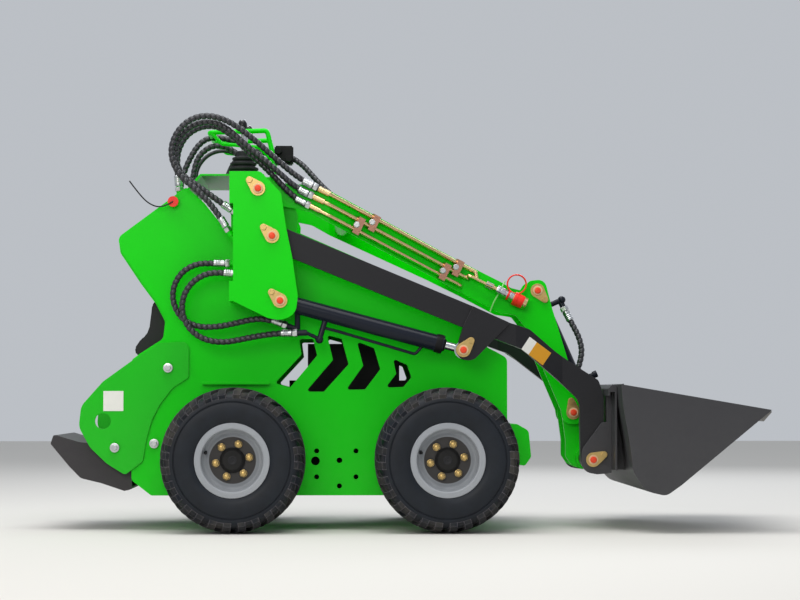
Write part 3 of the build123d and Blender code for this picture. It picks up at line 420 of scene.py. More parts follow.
def plain_metal(name, hex_code, roughness, grain=900.0):
    """Bare or plated metal: the colour of the plating, with a fine tumbled grain."""
    made, t, out = new_material(name)
    out.inputs["Metallic"].default_value = 1.0
    place = add_node(t, "ShaderNodeTexCoord")
    cloud = noise(t, place, 60.0, 5.0)
    dark = [0.72 * c for c in linear(hex_code)[:3]] + [1.0]
    tint = add_node(t, "ShaderNodeMix", {"data_type": "RGBA", 6: dark, 7: linear(hex_code)}, {0: cloud})
    t.links.new(tint.outputs[2], out.inputs["Base Color"])
    rough_all = add_node(t, "ShaderNodeMapRange", {"To Min": roughness * 0.8, "To Max": roughness * 1.25},
                         {"Value": cloud})
    t.links.new(rough_all.outputs[0], out.inputs["Roughness"])
    rounded = add_node(t, "ShaderNodeBevel", {"samples": 4, "Radius": 0.0008})
    relieve(t, out, noise(t, place, grain, 2.0), 0.1, 0.0002, rounded.outputs["Normal"])
    return made


def wears(material, *names):
    """CAD nodes take a finish."""
    for name in names:
        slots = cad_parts[name].data.materials
        slots.clear()
        slots.append(material)


# Bright leaf green, even and glossy: the machine's own colour, with a brighter green painted highlight along
# its edges
wears(powder_coat("green_powder_coat_steel", "#04cb02", "#58ec40", 0.30),
      "chassis_tub", "console", "hood", "hand_rail", "side_plate_right", "side_plate_left", "tower_right",
      "tower_left", "boom_plate_right", "boom_plate_left", "boom_cross_members", "front_link")
# Paler and duller green, so the guards read as sheets of their own, with a painted highlight along their
# edges
wears(powder_coat("pale_green_powder_coat_steel", "#18b818", "#5ede50", 0.38), "rear_guards")
# Slate, half matt under the operator's boots, with a painted paler highlight along its edges
wears(powder_coat("slate_powder_coat_steel", "#39373a", "#6a686c", 0.45), "rear_step")
# Dark warm grey that sets the arms off from the boom, with a painted paler highlight along its edges
wears(powder_coat("warm_grey_powder_coat_steel", "#242427", "#5a585c", 0.38),
      "lift_arm_right", "lift_arm_left", "arm_cross_tube")
# Flat charcoal with a painted pale highlight along its edges
wears(powder_coat("charcoal_powder_coat_steel", "#3f3f42", "#77777a", 0.46),
      "hitch", "bucket_mount", "bucket")
# Steel rubbed bare by soil: dull, bright only where it catches the light
wears(plain_metal("worn_wear_steel", "#8e8c88", 0.42), "cutting_edge")

# ---------------------------------------------------------------- wheel rims, bolts and hubs
# Pressed steel rims in silver lacquer with the flat in the middle coloured dark grey. Each is held on its
# black cast hub by six flange bolts plated in yellow zinc, and has a rubber valve in its slope.
BOLT_CIRCLE = 0.0535
BOLTS = 6
FIRST_BOLT = radians(-10)
DISC_FACE = 0.468
DISC_FLAT = 0.0735
VALVE_R, VALVE_ANGLE = 0.0885, radians(164)
VALVE_FACE = 0.461
# The valve leans this much towards the axle for each metre outwards
VALVE_LEAN = 0.12
# Turned forms: length along the axis, radius
BOLT_WASHER = [(0, 0), (0, 0.0125), (0.0022, 0.0120), (0.0030, 0.0108), (0.0030, 0)]
BOLT_HEXAGON = [(0.0025, 0), (0.0025, 0.0102), (0.0112, 0.0102), (0.0124, 0.0092), (0.0124, 0)]
BOLT_END = [(0.0120, 0), (0.0120, 0.0062), (0.0150, 0.0055), (0.0160, 0.0030), (0.0160, 0)]
VALVE = [(0, 0), (0, 0.0085), (0.002, 0.0080), (0.006, 0.0050), (0.020, 0.0042), (0.021, 0.0046),
         (0.029, 0.0046), (0.031, 0.0030), (0.031, 0)]
HUB_CENTRE = [(-0.001, 0), (-0.001, 0.014), (0.0008, 0.014), (0.0012, 0.011), (0.0004, 0.0095),
              (0.0004, 0.0045), (0.0016, 0.004), (0.0016, 0)]


def silver_rim(name, axle_x, axle_z):
    """Silver wheel lacquer, smooth and bright, with a painted highlight along its edges and the flat round
    the hub coloured dark grey.
    """
    made = powder_coat(name, "#989ca2", "#d8dade", 0.26, dust=0.25)
    t = made.node_tree
    out = t.nodes["Principled BSDF"]
    coat = out.inputs["Base Color"].links[0].from_socket
    place = add_node(t, "ShaderNodeTexCoord")
    centred = add_node(t, "ShaderNodeMapping", {"Location": (-axle_x, 0, -axle_z), "Scale": (1, 0, 1)},
                       {"Vector": place.outputs["Object"]})
    radius = add_node(t, "ShaderNodeVectorMath", {"operation": "LENGTH"}, {0: centred.outputs[0]})
    inside = add_node(t, "ShaderNodeMapRange", {"From Min": DISC_FLAT + 0.001, "From Max": DISC_FLAT - 0.001},
                      {"Value": radius.outputs["Value"]})
    mixed = add_node(t, "ShaderNodeMix", {"data_type": "RGBA", 7: linear("#403e3d")},
                     {0: inside.outputs[0], 6: coat})
    t.links.new(mixed.outputs[2], out.inputs["Base Color"])
    return made


def plastic(name, hex_code, roughness):
    """Moulded plastic or rubber: one colour through, with a faint moulded grain."""
    made, t, out = new_material(name)
    place = add_node(t, "ShaderNodeTexCoord")
    pale = [min(1.0, 1.25 * c + 0.004) for c in linear(hex_code)[:3]] + [1.0]
    tint = add_node(t, "ShaderNodeMix", {"data_type": "RGBA", 6: linear(hex_code), 7: pale},
                    {0: noise(t, place, 40.0, 4.0)})
    t.links.new(tint.outputs[2], out.inputs["Base Color"])
    out.inputs["Roughness"].default_value = roughness
    out.inputs["Specular IOR Level"].default_value = 0.3
    relieve(t, out, noise(t, place, 700.0, 2.0), 0.15, 0.0003)
    return made


def lathe(shape, profile, start, towards, ring):
    """Adds a turned form: rows of (length along, radius) from start towards a point, closed at both ends."""
    start = Vector(start)
    axis = (Vector(towards) - start).normalized()
    across = axis.orthogonal().normalized()
    side = axis.cross(across)
    rows = []
    for s, r in profile:
        turns = [2 * pi * k / ring for k in range(ring if r > 0 else 1)]
        rows.append([shape.verts.new(start + axis * s + (across * cos(a) + side * sin(a)) * r)
                     for a in turns])
    for a, b in zip(rows, rows[1:]):
        for k in range(ring):
            j = (k + 1) % ring
            corners = []
            for v in (a[k % len(a)], a[j % len(a)], b[j % len(b)], b[k % len(b)]):
                if v not in corners:
                    corners.append(v)
            if len(corners) > 2:
                shape.faces.new(corners)


def belongs(piece, body):
    """Puts a piece that stays with one body on that body."""
    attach(piece, body)


# Yellow passivated zinc: a warm, soft brass glint
zinc_yellow = plain_metal("yellow_passivated_zinc_steel", "#d3b474", 0.34)
# Black enamel on cast iron: nearly matt, with a painted grey highlight along its edges
hub_black = powder_coat("black_painted_cast_iron", "#131315", "#2c2c2e", 0.5)
# Moulded nitrile rubber: dull black with a faint grain
black_rubber = plastic("black_nitrile_rubber", "#17171a", 0.55)
for corner in WHEELS:
    side = -1 if corner.endswith("right") else 1
    axle = axle_of[corner]
    wears(silver_rim("silver_wheel_lacquer_" + corner, axle.x, axle.z), "rim_" + corner)
    wears(hub_black, "hub_" + corner)
    bolt = bmesh.new()
    foot, tip = Vector((BOLT_CIRCLE, side * DISC_FACE, 0)), Vector((BOLT_CIRCLE, side * (DISC_FACE + 1), 0))
    for form, ring in ((BOLT_WASHER, 20), (BOLT_HEXAGON, 6), (BOLT_END, 12)):
        lathe(bolt, form, foot, tip, ring)
    bolt_element = element("flange_bolt", bolt)
    bolts = grown("wheel_bolts_" + corner, bpy.data.meshes.new("seed"), round_axle, {
        "Element": bolt_element, "Count": BOLTS, "First turn": FIRST_BOLT, "Axle": axle}, zinc_yellow)
    belongs(bolts, "wheel_" + corner)
    bpy.data.objects.remove(bolt_element)
    valve = bmesh.new()
    out = Vector((cos(VALVE_ANGLE), 0, sin(VALVE_ANGLE)))
    at = axle + out * VALVE_R + Vector((0, side * VALVE_FACE, 0))
    lathe(valve, VALVE, at, at - out * VALVE_LEAN + Vector((0, side, 0)), 14)
    belongs(made_piece("valve_" + corner, valve, black_rubber), "wheel_" + corner)
    cap = bmesh.new()
    face = axle + Vector((0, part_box("hub_" + corner)[1 if side > 0 else 0][1], 0))
    lathe(cap, HUB_CENTRE, face, face + Vector((0, side, 0)), 28)
    belongs(made_piece("hub_centre_" + corner, cap, black_rubber), "wheel_" + corner)

# ---------------------------------------------------------------- engine and wheel motors
# The engine is one closed block inside the tub. The hydraulic wheel motors are iron castings bolted through
# the tub's sides, and both are painted the hubs' black.
wears(hub_black, "engine", "wheel_motors")

# ---------------------------------------------------------------- hydraulic hoses
# Two-wire rubber hoses under a wound polyethylene guard, swaged into plated ferrules and free in between.
# Three loop from the tower to the boom's pipes and two to each lift cylinder. The thin hose to the valve
# has no guard.
HOSE_R = 0.0100
THIN_HOSE_R = 0.0065
GUARD_PITCH = 0.017
GUARD_CUT = 0.0024
# The cut between turns: half its width as a share of a turn, how steep its walls are, how fast its painted
# shade darkens
CUT_HALF, CUT_STEEP, CUT_SHADE_RATE = 0.18, 1.6, 1.4
# Tone of a bare hose, as a share between the colour of the guard's turns at 0 and the painted shade of its
# gaps at 1
BARE_TONE = 0.35
HOSE_RING = 16
STEP_ALONG = 0.0034
SPLINE_STEPS = 32
AXLE_MM = axle_of["rear_right"].x * 1000
# Routes in mm from the rear axle
BOOM_HOSES = [
    [(266, -322, 1092.5), (210.5, -322, 1120.1), (131, -326, 1186), (44, -338, 1264), (-40, -353, 1318),
     (-122, -358, 1324), (-184, -361, 1277), (-208, -363, 1204), (-180, -366, 1132), (-118, -369, 1082),
     (-64, -372, 1026), (-27, -374, 966)],
    [(248, -322, 1067.4), (196.1, -322, 1093.3), (130, -338, 1152), (46, -339, 1220), (-44, -334, 1302),
     (-114, -333, 1307), (-173, -334, 1270), (-197, -335, 1205), (-175, -336, 1137), (-117, -338, 1098),
     (-62, -340, 1057), (-11, -343, 1023)],
    [(235, -322, 1037.9), (186.7, -322, 1062.0), (124, -323, 1132), (46, -311, 1208), (-38, -292, 1290),
     (-100, -280, 1301), (-157, -268, 1275), (-189, -257, 1222), (-191, -249, 1164), (-186, -243, 1108)],
]
LIFT_HOSES = [
    [(-21, -336, 851), (-66, -336, 852), (-123, -336, 851), (-170, -335, 824), (-197, -335, 777),
     (-197, -335, 723), (-170, -336, 676), (-123, -339, 649), (-58, -344, 648), (6, -350, 661),
     (66, -354, 675), (116, -357, 671), (158.6, -357, 655)],
    [(-7, -358, 818.4), (-33, -358, 820.5), (-87, -357, 820), (-137, -356, 791), (-166, -356, 741),
     (-166, -356, 683), (-137, -356, 633), (-87, -356, 604), (-27, -358, 599), (32, -360, 611),
     (90, -366, 622), (146, -372, 628), (199, -377, 629)],
]
VALVE_HOSE = [(28, 74, 1152), (26, 73, 1201), (-6, 70, 1240), (-57, 66, 1257), (-109, 60, 1241),
              (-144, 54, 1198), (-150, 50, 1150), (-149, 48, 1112)]
TILT_HOSE = [(1080, 0, 728), (1106, -9, 676), (1134, -30, 620), (1141, -47, 560), (1119, -60, 506)]
FOURTH_HOSE = [(176, -6, 1222), (206, -24, 1204), (246, -60, 1156), (290, -92, 1106), (356, -104, 1046)]


def mm(x, y, z):
    """Place given in mm from the rear axle, in the model's frame."""
    return Vector(((x + AXLE_MM) / 1000, y / 1000, z / 1000))


def route_line(name, points):
    """Smooth line of a route: points read along its NURBS spline, an even step apart."""
    data = bpy.data.curves.new(name, "CURVE")
    data.dimensions = "3D"
    spline = data.splines.new("NURBS")
    spline.points.add(len(points) - 1)
    for control, spot in zip(spline.points, points):
        control.co = (*spot, 1.0)
    spline.order_u = 3
    spline.use_endpoint_u = True
    spline.resolution_u = SPLINE_STEPS
    holder = bpy.data.objects.new(name, data)
    bpy.context.scene.collection.objects.link(holder)
    bpy.context.view_layer.update()
    drawn = bpy.data.meshes.new_from_object(holder.evaluated_get(bpy.context.evaluated_depsgraph_get()))
    fine = [v.co.copy() for v in drawn.vertices]
    bpy.data.objects.remove(holder)
    bpy.data.meshes.remove(drawn)
    path, left = [fine[0]], STEP_ALONG
    for p, q in zip(fine, fine[1:]):
        gap = (q - p).length
        while gap >= left and gap > 0:
            p = p + (q - p) * (left / gap)
            path.append(p)
            gap, left = (q - p).length, STEP_ALONG
        left -= gap
    path.append(fine[-1])
    return path


def tube_mesh(path, radius_at, count=HOSE_RING):
    """Closed tube round a line. radius_at gives the radius and the groove at a length and an angle."""
    shape = bmesh.new()
    marks = shape.verts.layers.float.new("groove")
    rings, length = [], 0.0
    over = (path[1] - path[0]).orthogonal().normalized()
    for i, p in enumerate(path):
        ahead = (path[min(i + 1, len(path) - 1)] - path[max(i - 1, 0)]).normalized()
        over = (over - ahead * over.dot(ahead)).normalized()
        beside = ahead.cross(over)
        if i:
            length += (p - path[i - 1]).length
        row = []
        for k in range(count):
            a = 2 * pi * k / count
            r, mark = radius_at(length, a)
            v = shape.verts.new(p + (over * cos(a) + beside * sin(a)) * r)
            v[marks] = mark
            row.append(v)
        rings.append(row)
    bridge(shape, rings)
    shape.faces.new(rings[0][::-1])
    shape.faces.new(rings[-1])
    return shape


# Guard of moulded polyethylene strip wound on black rubber: soft sheen on the turns, dull in the gaps, which
# are painted near black as shade
guard_black, tree, body = new_material("polyethylene_spiral_guard")
groove = add_node(tree, "ShaderNodeAttribute", {"attribute_name": "groove"})
# Painted shade: the colour darkens to near black in the cut between the turns
shade = add_node(tree, "ShaderNodeMix", {"data_type": "RGBA", 6: linear("#2b2c31"), 7: linear("#0a0a0b")},
                 {0: groove.outputs["Fac"]})
tree.links.new(shade.outputs[2], body.inputs["Base Color"])
rough = add_node(tree, "ShaderNodeMapRange", {"To Min": 0.30, "To Max": 0.8},
                 {"Value": groove.outputs["Fac"]})
tree.links.new(rough.outputs[0], body.inputs["Roughness"])


def spiral(length, a):
    """Radius of the wound strip: a cut between turns, one turn each pitch, and how deep the painted shade in
    the cut is.
    """
    phase = (length / GUARD_PITCH - a / (2 * pi)) % 1.0
    cut = max(0.0, 1 - abs(phase - 0.5) / CUT_HALF)
    return HOSE_R - GUARD_CUT * min(1.0, cut * CUT_STEEP), min(1.0, cut * CUT_SHADE_RATE)


def plain_round(radius, tone=0):
    """The same radius and tone all along."""
    return lambda length, a: (radius, tone)


smooth_hose = plain_round(THIN_HOSE_R, BARE_TONE)


def hose(name, points, bodies, section=spiral, instead_of=True):
    """One hose on its route in mm. Between two bodies it stays in place on neither; with one it rides on it.
    """
    path = route_line(name, [mm(*p) for p in points])
    piece = made_piece(name + "_hose", tube_mesh(path, section), guard_black)
    if len(bodies) == 2:
        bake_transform(piece)
    else:
        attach(piece, bodies[0])
    if instead_of:
        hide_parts(name)


for k, points in enumerate(BOOM_HOSES):
    hose(f"upper_hose_{k + 1}", points, ("boom", "chassis"))
for k, points in enumerate(LIFT_HOSES):
    for hand, flip in (("right", 1), ("left", -1)):
        hose(f"lower_hose_{k + 1}_{hand}", [(x, flip * y, z) for x, y, z in points],
             ("chassis", "lift_barrel_" + hand))
hose("valve_hose", VALVE_HOSE, ("chassis",), smooth_hose)
hose("tilt_hose", TILT_HOSE, ("tilt_barrel", "tilt_bush"))
hose("fourth_boom", FOURTH_HOSE, ("chassis", "boom"), instead_of=False)

# ---------------------------------------------------------------- hose ends
# Ferrules and hexagon swivel nuts turned from bar and zinc plated, swaged on both ends of the boom and lift
# hoses and on the upper end of the tilt hose. The dies leave ribs, and the nut pulls the hose on to its port.
FERRULE = [
    (-0.004, 0), (-0.004, 0.0104), (-0.002, 0.0124), (0.004, 0.0128), (0.006, 0.0118), (0.010, 0.0128),
    (0.012, 0.0118), (0.016, 0.0128), (0.018, 0.0118), (0.022, 0.0128), (0.030, 0.0124), (0.031, 0.0090),
    (0.034, 0.0090), (0.034, 0)
]
NUT = [(0.033, 0), (0.033, 0.0126), (0.034, 0.0136), (0.046, 0.0136), (0.048, 0.0124), (0.048, 0)]
# Bright zinc plate: pale silver with a soft shine
zinc_bright = plain_metal("bright_zinc_plated_steel", "#cfd2d4", 0.30)


def hose_end(name, hose_point, port_point, body, lead):
    """Ferrule and nut towards the port, from a lead behind the hose's point, or past it if negative."""
    end = bmesh.new()
    toward = (mm(*port_point) - mm(*hose_point)).normalized()
    start = mm(*hose_point) - toward * lead
    lathe(end, FERRULE, start, start + toward, 20)
    lathe(end, NUT, start, start + toward, 6)
    belongs(made_piece(name, end, zinc_bright, 30), body)


for k, points in enumerate(BOOM_HOSES):
    hose_end(f"boom_end_{k + 1}", points[1], points[0], "boom", -0.010)
    out = [2 * a - b for a, b in zip(points[-1], points[-2])]
    hose_end(f"tower_end_{k + 1}", points[-1], out, "chassis", 0.030)
for k, points in enumerate(LIFT_HOSES):
    for hand, flip in (("right", 1), ("left", -1)):
        route = [(x, flip * y, z) for x, y, z in points]
        hose_end(f"port_end_{k + 1}_{hand}", route[1], route[0], "chassis", -0.002)
        hose_end(f"barrel_end_{k + 1}_{hand}", route[-2], route[-1], "lift_barrel_" + hand, -0.006)
hose_end("tilt_end", TILT_HOSE[1], TILT_HOSE[0], "tilt_barrel", -0.008)

# ---------------------------------------------------------------- pin keepers and bolts
# Pins, bushes and keepers are steel in yellow zinc. A cream nylon ring and a red cap are pressed into each
# pivot's collar to keep the grease in. The guards are held by plain hexagon bolts with washers.
# Pin centre x and z in mm from the rear axle, face of the collar, body
KEEPERS = [(75.5, 1085.0, 420, "chassis"), (120.0, 935.0, 420, "chassis"), (146.0, 730.0, 420, "chassis"),
           (726.0, 575.0, 403, "lift_arms"), (1147.5, 225.0, 308, "lift_arms"), (986.0, 776.0, 117, "boom"),
           (1103.0, 375.0, 117, "boom")]
# Bolt centre x and z, and the node it sits on
FACE_BOLTS = [(-215, 519, "rear_guards"), (-384, 264, "rear_guards"), (-259, 277, "side_plate_right")]
# Turned forms: length outwards from the face, radius
PIN_RING = [(-0.0008, 0), (-0.0008, 0.0158), (0.0012, 0.0158), (0.0018, 0.0150), (0.0018, 0)]
PIN_CAP = [(0.0010, 0), (0.0010, 0.0104), (0.0060, 0.0104), (0.0078, 0.0092), (0.0086, 0.0060), (0.0086, 0)]
HEAD = [(0.0018, 0), (0.0018, 0.0098), (0.0070, 0.0098), (0.0080, 0.0088), (0.0080, 0)]
WASHER = [(-0.0005, 0), (-0.0005, 0.0150), (0.0018, 0.0150), (0.0020, 0.0140), (0.0020, 0)]
# The guards' bolt heads stand this far off on their washers
ON_WASHER = 0.001
# Moulded polythene: warm orange-red with a low shine
red_cap = plastic("red_orange_polythene_cap", "#d8401f", 0.35)
# Natural nylon: cream, half matt
cream_ring = plastic("cream_nylon_ring", "#cfae86", 0.45)
wears(zinc_yellow, "tower_pins", "arm_pins", "boom_pins", "hitch_bushes", "tilt_bush")

# Tree that puts an element at every point of the seed, turned by the point's own turn
at_points, ends_in, ends_out = geometry_tree("at_points", [("Element", "Object"), ("Material", "Material")])
own_turn = add_node(at_points, "GeometryNodeInputNamedAttribute",
                    {"data_type": "FLOAT_VECTOR", "Name": "turn"})
instance_out(at_points, ends_in, ends_out, ends_in.outputs["Geometry"], own_turn.outputs["Attribute"])


def spread(name, places, shape, material, body):
    """An element at each place; a place on the machine's left is turned to face left."""
    seed = bpy.data.meshes.new(name + "_places")
    seed.from_pydata([tuple(p) for p in places], [], [])
    turns = seed.attributes.new("turn", "FLOAT_VECTOR", "POINT")
    for k, p in enumerate(places):
        turns.data[k].vector = (0, 0, pi if p.y > 0 else 0)
    holder = element(name + "_element", shape)
    belongs(grown(name, seed, at_points, {"Element": holder}, material, 30), body)
    bpy.data.objects.remove(holder)


def turned(profile, count):
    """Turned form at the origin, standing out to the machine's right."""
    shape = bmesh.new()
    lathe(shape, profile, (0, 0, 0), (0, -1, 0), count)
    return shape


def outer_spot(node, x, z, flip):
    """Place on the outside of a node at x and z in mm, found by looking along y."""
    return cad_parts[node].ray_cast(mm(x, 1000 * flip, z), Vector((0, -flip, 0)))[1]


for body_name in ("chassis", "lift_arms", "boom"):
    spots = [mm(x, flip * face, z) for x, z, face, holder in KEEPERS if holder == body_name
             for flip in (-1, 1)]
    spread("cream_rings_" + body_name, spots, turned(PIN_RING, 32), cream_ring, body_name)
    spread("red_caps_" + body_name, spots, turned(PIN_CAP, 28), red_cap, body_name)
face_spots = [outer_spot(node if flip < 0 else node.replace("right", "left"), x, z, flip)
              for x, z, node in FACE_BOLTS for flip in (-1, 1)]
spread("guard_washers", face_spots, turned(WASHER, 28), zinc_bright, "chassis")
head_spots = [p + Vector((0, -ON_WASHER if p.y < 0 else ON_WASHER, 0)) for p in face_spots]
spread("guard_bolts", head_spots, turned(HEAD, 6), zinc_bright, "chassis")

# ---------------------------------------------------------------- boom pipes and their clamps
# Three steel pipes bent along the boom's right-hand side, copper flashed under clear zinc. Four pressed
# clamps hold them to the boom plate, each over two neighbouring pipes and by one bolt.
# Top edge of the boom: its first point in mm from the rear axle, and its fall for each mm forwards
BOOM_TOP, BOOM_FALL = (271, 1102), 0.4975
# Bolt centre x, and its drop from the top edge
CLAMP_BOLTS = [(389, 64), (439, 29), (672, 64), (716, 29)]
CLAMP_WASHER = [(-0.0005, 0), (-0.0005, 0.0100), (0.0014, 0.0100), (0.0014, 0)]
# Copper showing through thin zinc: pale, warm and shiny
wears(plain_metal("copper_tinted_zinc_pipe", "#f2d39c", 0.26), "boom_pipes")
# The same on pressed strip: pinker and duller
wears(plain_metal("copper_flashed_steel_clamp", "#dda48c", 0.32), "pipe_clamps")


def under_boom_top(x, drop):
    """Height in mm at x, a drop under the boom's top edge."""
    return BOOM_TOP[1] - BOOM_FALL * (x - BOOM_TOP[0]) - drop


clamp_spots = [outer_spot("pipe_clamps", x, under_boom_top(x, drop), -1) for x, drop in CLAMP_BOLTS]
spread("clamp_bolts", clamp_spots, turned(HEAD, 6), zinc_bright, "boom")
spread("clamp_washers", clamp_spots, turned(CLAMP_WASHER, 24), zinc_bright, "boom")

# ---------------------------------------------------------------- quick coupler and its cap
# Quick coupler turned from bar and zinc plated, on the boom's right-hand side. A moulded red cap keeps dirt
# out and is held by a red strap loop, with a red band on the sleeve and a thin bleed line beside it.
COUPLER_Y, COUPLER_DROP = -130.0, 36.0
# Turned forms: length along the coupler, radius
COUPLER_HEXAGON = [(0, 0), (0, 0.0128), (0.024, 0.0128), (0.026, 0.0110), (0.026, 0)]
COUPLER_SLEEVE = [
    (0, 0), (0, 0.0150), (0.003, 0.0158), (0.010, 0.0158), (0.011, 0.0146), (0.014, 0.0146),
    (0.015, 0.0158), (0.030, 0.0158), (0.031, 0.0148), (0.046, 0.0148), (0.048, 0.0162), (0.060, 0.0162),
    (0.060, 0)
]
CAP = [
    (0, 0.0150), (0, 0.0222), (0.004, 0.0230), (0.012, 0.0230), (0.013, 0.0216), (0.024, 0.0222),
    (0.034, 0.0214), (0.042, 0.0180), (0.047, 0.0100), (0.048, 0)
]
BAND = [(0, 0.0150), (0, 0.0168), (0.006, 0.0168), (0.006, 0.0150)]
# Each form's start in mm from the rear axle, and a point further on that they all face
HEXAGON_X, SLEEVE_X, BAND_X, CAP_X, NOSE_X = 814, 849, 884, 905, 1000
STRAP_CENTRE, STRAP_R, STRAP_POINTS = (916, COUPLER_Y, 796), 0.031, 40
STRAP_LAPS = (-0.004, 0.004)
LINE_R = 0.0024
BLEED = [(877, -128, 806), (868, -134, 788), (852, -134, 758), (838, -128, 734), (829, -118, 706)]


def on_coupler(x):
    """Place on the coupler's middle line at x in mm."""
    return mm(x, COUPLER_Y, under_boom_top(x, COUPLER_DROP))


# Moulded polythene: clear signal red with a low shine
red_plastic = plastic("red_moulded_polythene", "#e02a1c", 0.35)
nose = on_coupler(NOSE_X)
body_turn = bmesh.new()
lathe(body_turn, COUPLER_HEXAGON, on_coupler(HEXAGON_X), nose, 6)
lathe(body_turn, COUPLER_SLEEVE, on_coupler(SLEEVE_X), nose, 32)
belongs(made_piece("quick_coupler", body_turn, zinc_bright, 30), "boom")
cap_turn = bmesh.new()
lathe(cap_turn, CAP, on_coupler(CAP_X), nose, 36)
lathe(cap_turn, BAND, on_coupler(BAND_X), nose, 32)
round_strap = [2 * pi * k / STRAP_POINTS for k in range(STRAP_POINTS + 1)]
for offset in STRAP_LAPS:
    loop = [mm(*STRAP_CENTRE) + Vector((STRAP_R * cos(a), offset, STRAP_R * sin(a))) for a in round_strap]
    lap = tube_mesh(loop, plain_round(LINE_R), 8)
    lap_mesh = bpy.data.meshes.new("strap")
    lap.to_mesh(lap_mesh)
    lap.free()
    cap_turn.from_mesh(lap_mesh)
    bpy.data.meshes.remove(lap_mesh)
belongs(made_piece("coupler_cap", cap_turn, red_plastic, 35), "boom")
# Drawn nylon tube: pale green, a little see-through in life, shown as one pale colour
pale_nylon = plastic("pale_green_nylon_line", "#8fcf7e", 0.4)
bleed = tube_mesh(route_line("bleed", [mm(*p) for p in BLEED]), plain_round(LINE_R), 8)
belongs(made_piece("bleed_line", bleed, pale_nylon), "boom")

# ---------------------------------------------------------------- controls
# Two chromed steel levers with moulded knobs stand in a rubber boot, with a cast valve block, thin pilot
# tubes and a pair of guarded hoses behind it. The red stop switch on the side plate has a cord lanyard.
LEVERS = [((13, -82, 1300), (13, -82, 1332)), ((31, -38, 1285), (31, -38, 1317))]
PILOT_TUBES = [
    [(112, -22, 1232), (74, -26, 1238), (30, -34, 1226), (-8, -44, 1194), (-26, -48, 1150)],
    [(112, -2, 1214), (70, -8, 1222), (26, -16, 1208), (-10, -26, 1176), (-30, -30, 1140)],
    [(118, 16, 1248), (70, 14, 1262), (10, 10, 1240), (-34, 4, 1196), (-46, 0, 1146)],
]
GUARDED_PAIR = [
    [(-190, -24, 1098), (-197, -24, 1122), (-185, -24, 1169), (-166, -22, 1216), (-136, -18, 1267),
     (-97, -12, 1292), (-30, -8, 1284), (20, -10, 1256), (96, -12, 1236)],
    [(-150, -46, 1100), (-153, -46, 1130), (-152, -46, 1160), (-140, -44, 1214), (-114, -42, 1245),
     (-80, -40, 1262), (-27, -40, 1252), (4, -46, 1222)],
]
LANYARD = [(-200, -308, 1052), (-232, -312, 1030), (-276, -310, 1042), (-312, -304, 1080), (-340, -298, 1118)]
LANYARD_R = 0.0022
KNOB = [
    (-0.004, 0), (-0.004, 0.0075), (0.004, 0.0090), (0.010, 0.0130), (0.020, 0.0150), (0.030, 0.0146),
    (0.038, 0.0110), (0.042, 0.0050), (0.043, 0)
]
# Valve block: middle and size in mm; its two side ports, x and z
BLOCK_AT, BLOCK_SIZE, BLOCK_EDGE = (148, 0, 1231), (62, 52, 62), 0.004
PORTS, PORT_OUT = [(130, 1244), (164, 1218)], -26
PORT_FORM = [(0, 0), (0, 0.012), (0.022, 0.012), (0.022, 0)]
# Hard chrome on ground steel: a dark mirror with sharp glints
chrome = plain_metal("hard_chrome_rod", "#dfe1e4", 0.08, 2000.0)
# Moulded nylon: deep black with a smooth shine
black_plastic = plastic("black_moulded_nylon", "#101012", 0.30)
wears(black_rubber, "control_boot")
wears(chrome, "control_levers")
wears(red_plastic, "stop_switch")
block = bmesh.new()
bmesh.ops.create_cube(block, size=1.0)
for v in block.verts:
    v.co = mm(*(at + share * size for at, share, size in zip(BLOCK_AT, v.co, BLOCK_SIZE)))
bmesh.ops.bevel(block, geom=list(block.edges), offset=BLOCK_EDGE, segments=2, affect="EDGES")
for x, z in PORTS:
    lathe(block, PORT_FORM, mm(x, PORT_OUT, z), mm(x, PORT_OUT - 1, z), 6)
belongs(made_piece("valve_block", block, hub_black, 30), "chassis")
for kind, routes, section, ring in (("pilot_tube", PILOT_TUBES, smooth_hose, 12),
                                    ("guarded_control_hose", GUARDED_PAIR, spiral, HOSE_RING)):
    for k, points in enumerate(routes):
        path = route_line(kind, [mm(*p) for p in points])
        tube = made_piece(f"{kind}_{k + 1}", tube_mesh(path, section, ring), guard_black)
        belongs(tube, "chassis")
knobs = bmesh.new()
for foot, top in LEVERS:
    lathe(knobs, KNOB, mm(*foot), mm(*top), 28)
belongs(made_piece("lever_knobs", knobs, black_plastic, 50), "chassis")
lanyard = tube_mesh(route_line("lanyard", [mm(*p) for p in LANYARD]), plain_round(LANYARD_R), 8)
belongs(made_piece("lanyard", lanyard, black_plastic), "chassis")

# ---------------------------------------------------------------- thigh pad
# Moulded polyurethane foam pad with a black skin, glued to the waist of the rear sheet: the operator on the
# step leans against it. Its edges are rounded all round.
PAD_PROFILE = [
    (-262, 738), (-273, 722), (-276, 690), (-276, 652), (-284, 630), (-309, 612), (-328, 584), (-324, 562),
    (-308, 560), (-238, 607), (-221, 641), (-231, 690), (-250, 728)
]
PAD_HALF = 215.0
PAD_EDGE = 0.0045
pad = bmesh.new()
ends = [[pad.verts.new(mm(x, y, z)) for x, z in PAD_PROFILE] for y in (-PAD_HALF, PAD_HALF)]
for near in ends:
    pad.faces.new(near)
bridge(pad, ends)
bmesh.ops.bevel(pad, geom=list(pad.edges), offset=PAD_EDGE, segments=3, affect="EDGES")
belongs(made_piece("thigh_pad", pad, black_rubber, 50), "chassis")

# ---------------------------------------------------------------- blank plates
# Thin lacquered aluminium plates, left blank and stuck flat to the steel: a white square on each rear guard,
# and an amber and a white one side by side on the slant of each arm.
GUARD_PLATE = [(-421, 381), (-357, 381), (-357, 445), (-421, 445)]
ARM_PLATE = [(964, 601), (1013, 567), (984, 527), (936, 561)]
ARM_PLATE_PALE = [(940, 618), (964, 601), (936, 561), (912, 578)]
# The guard's outer face, and the arm's: it comes in this much for each mm in front of x
GUARD_FACE = 288
ARM_FACE, ARM_SLANT_X, ARM_SLANT = 385, 892, 105 / 160
# Underside and top of a plate over the steel
PLATE_FROM, PLATE_TO = 0.1, 0.9
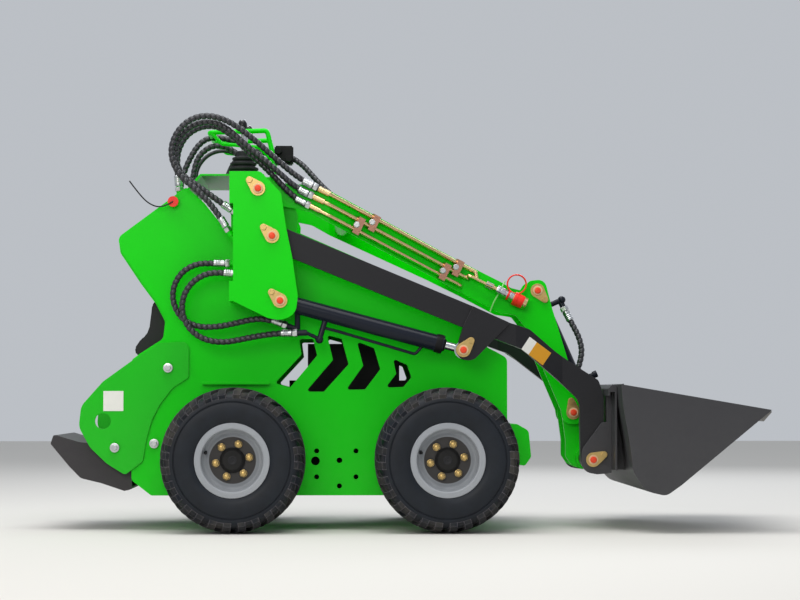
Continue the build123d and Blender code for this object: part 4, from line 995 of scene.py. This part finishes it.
# Stove lacquer on aluminium: clean white and amber, even and half gloss, with a painted paler highlight along
# the edges
white_plate = powder_coat("white_lacquered_aluminium_plate", "#e6e6df", "#ffffff", 0.35)
amber_plate = powder_coat("amber_lacquered_aluminium_plate", "#d99a2b", "#f0c060", 0.35)


def flat_plate(name, corners, faces, material, body):
    """Plate 0.8 mm thick on corners in mm; faces gives the steel's y at each corner."""
    shape = bmesh.new()
    for flip in (-1, 1):
        sides = [[shape.verts.new(mm(x, flip * (y + off), z)) for (x, z), y in zip(corners, faces)]
                 for off in (PLATE_FROM, PLATE_TO)]
        for row in sides:
            shape.faces.new(row)
        bridge(shape, sides)
    belongs(made_piece(name, shape, material, 30), body)


flat_plate("guard_plate", GUARD_PLATE, [GUARD_FACE] * 4, white_plate, "chassis")
for name, corners, lacquer in (("arm_plate", ARM_PLATE, amber_plate),
                               ("arm_plate_pale", ARM_PLATE_PALE, white_plate)):
    slant = [ARM_FACE - ARM_SLANT * (x - ARM_SLANT_X) for x, z in corners]
    flat_plate(name, corners, slant, lacquer, "lift_arms")

# ---------------------------------------------------------------- cylinders
# Drawn steel barrels in blue-black enamel, each closed by a screwed cast gland with a wiper. The rods are
# ground steel with hard chrome, and the eyes are welded on.
# Enamel over drawn tube: blue-black, smooth and glossy, with a painted paler highlight along its edges
wears(powder_coat("blue_black_enamel_cylinder", "#1a1e28", "#3a4050", 0.22),
      "lift_barrel_right", "lift_barrel_left", "tilt_barrel")
# Barrel, its pin and the rod's pin in x and z, its y, and how far from its pin it ends, all in mm from the
# rear axle, then the gland's radius and bore in m
GLANDS = [("lift_barrel_right", (146.0, 730.0), (726.0, 575.0), -365, 535, 0.0295, 0.0147),
          ("lift_barrel_left", (146.0, 730.0), (726.0, 575.0), 365, 535, 0.0295, 0.0147),
          ("tilt_barrel", (986.0, 776.0), (1152.0, 399.0), 0, 352, 0.0305, 0.0157)]
wears(chrome, "lift_rod_right", "lift_rod_left", "tilt_rod")
for node, base, tip, y, end, radius, bore in GLANDS:
    run = Vector((tip[0] - base[0], 0, tip[1] - base[1])).normalized()
    at = mm(base[0], y, base[1]) + run * (end / 1000)
    gland = bmesh.new()
    lathe(gland, [(-0.024, radius + 0.0006), (-0.006, radius + 0.0012), (0.001, radius - 0.001),
                  (0.002, bore + 0.006), (0.007, bore + 0.004), (0.008, bore)], at, at + run, 36)
    belongs(made_piece("gland_" + node, gland, hub_black, 30), node)
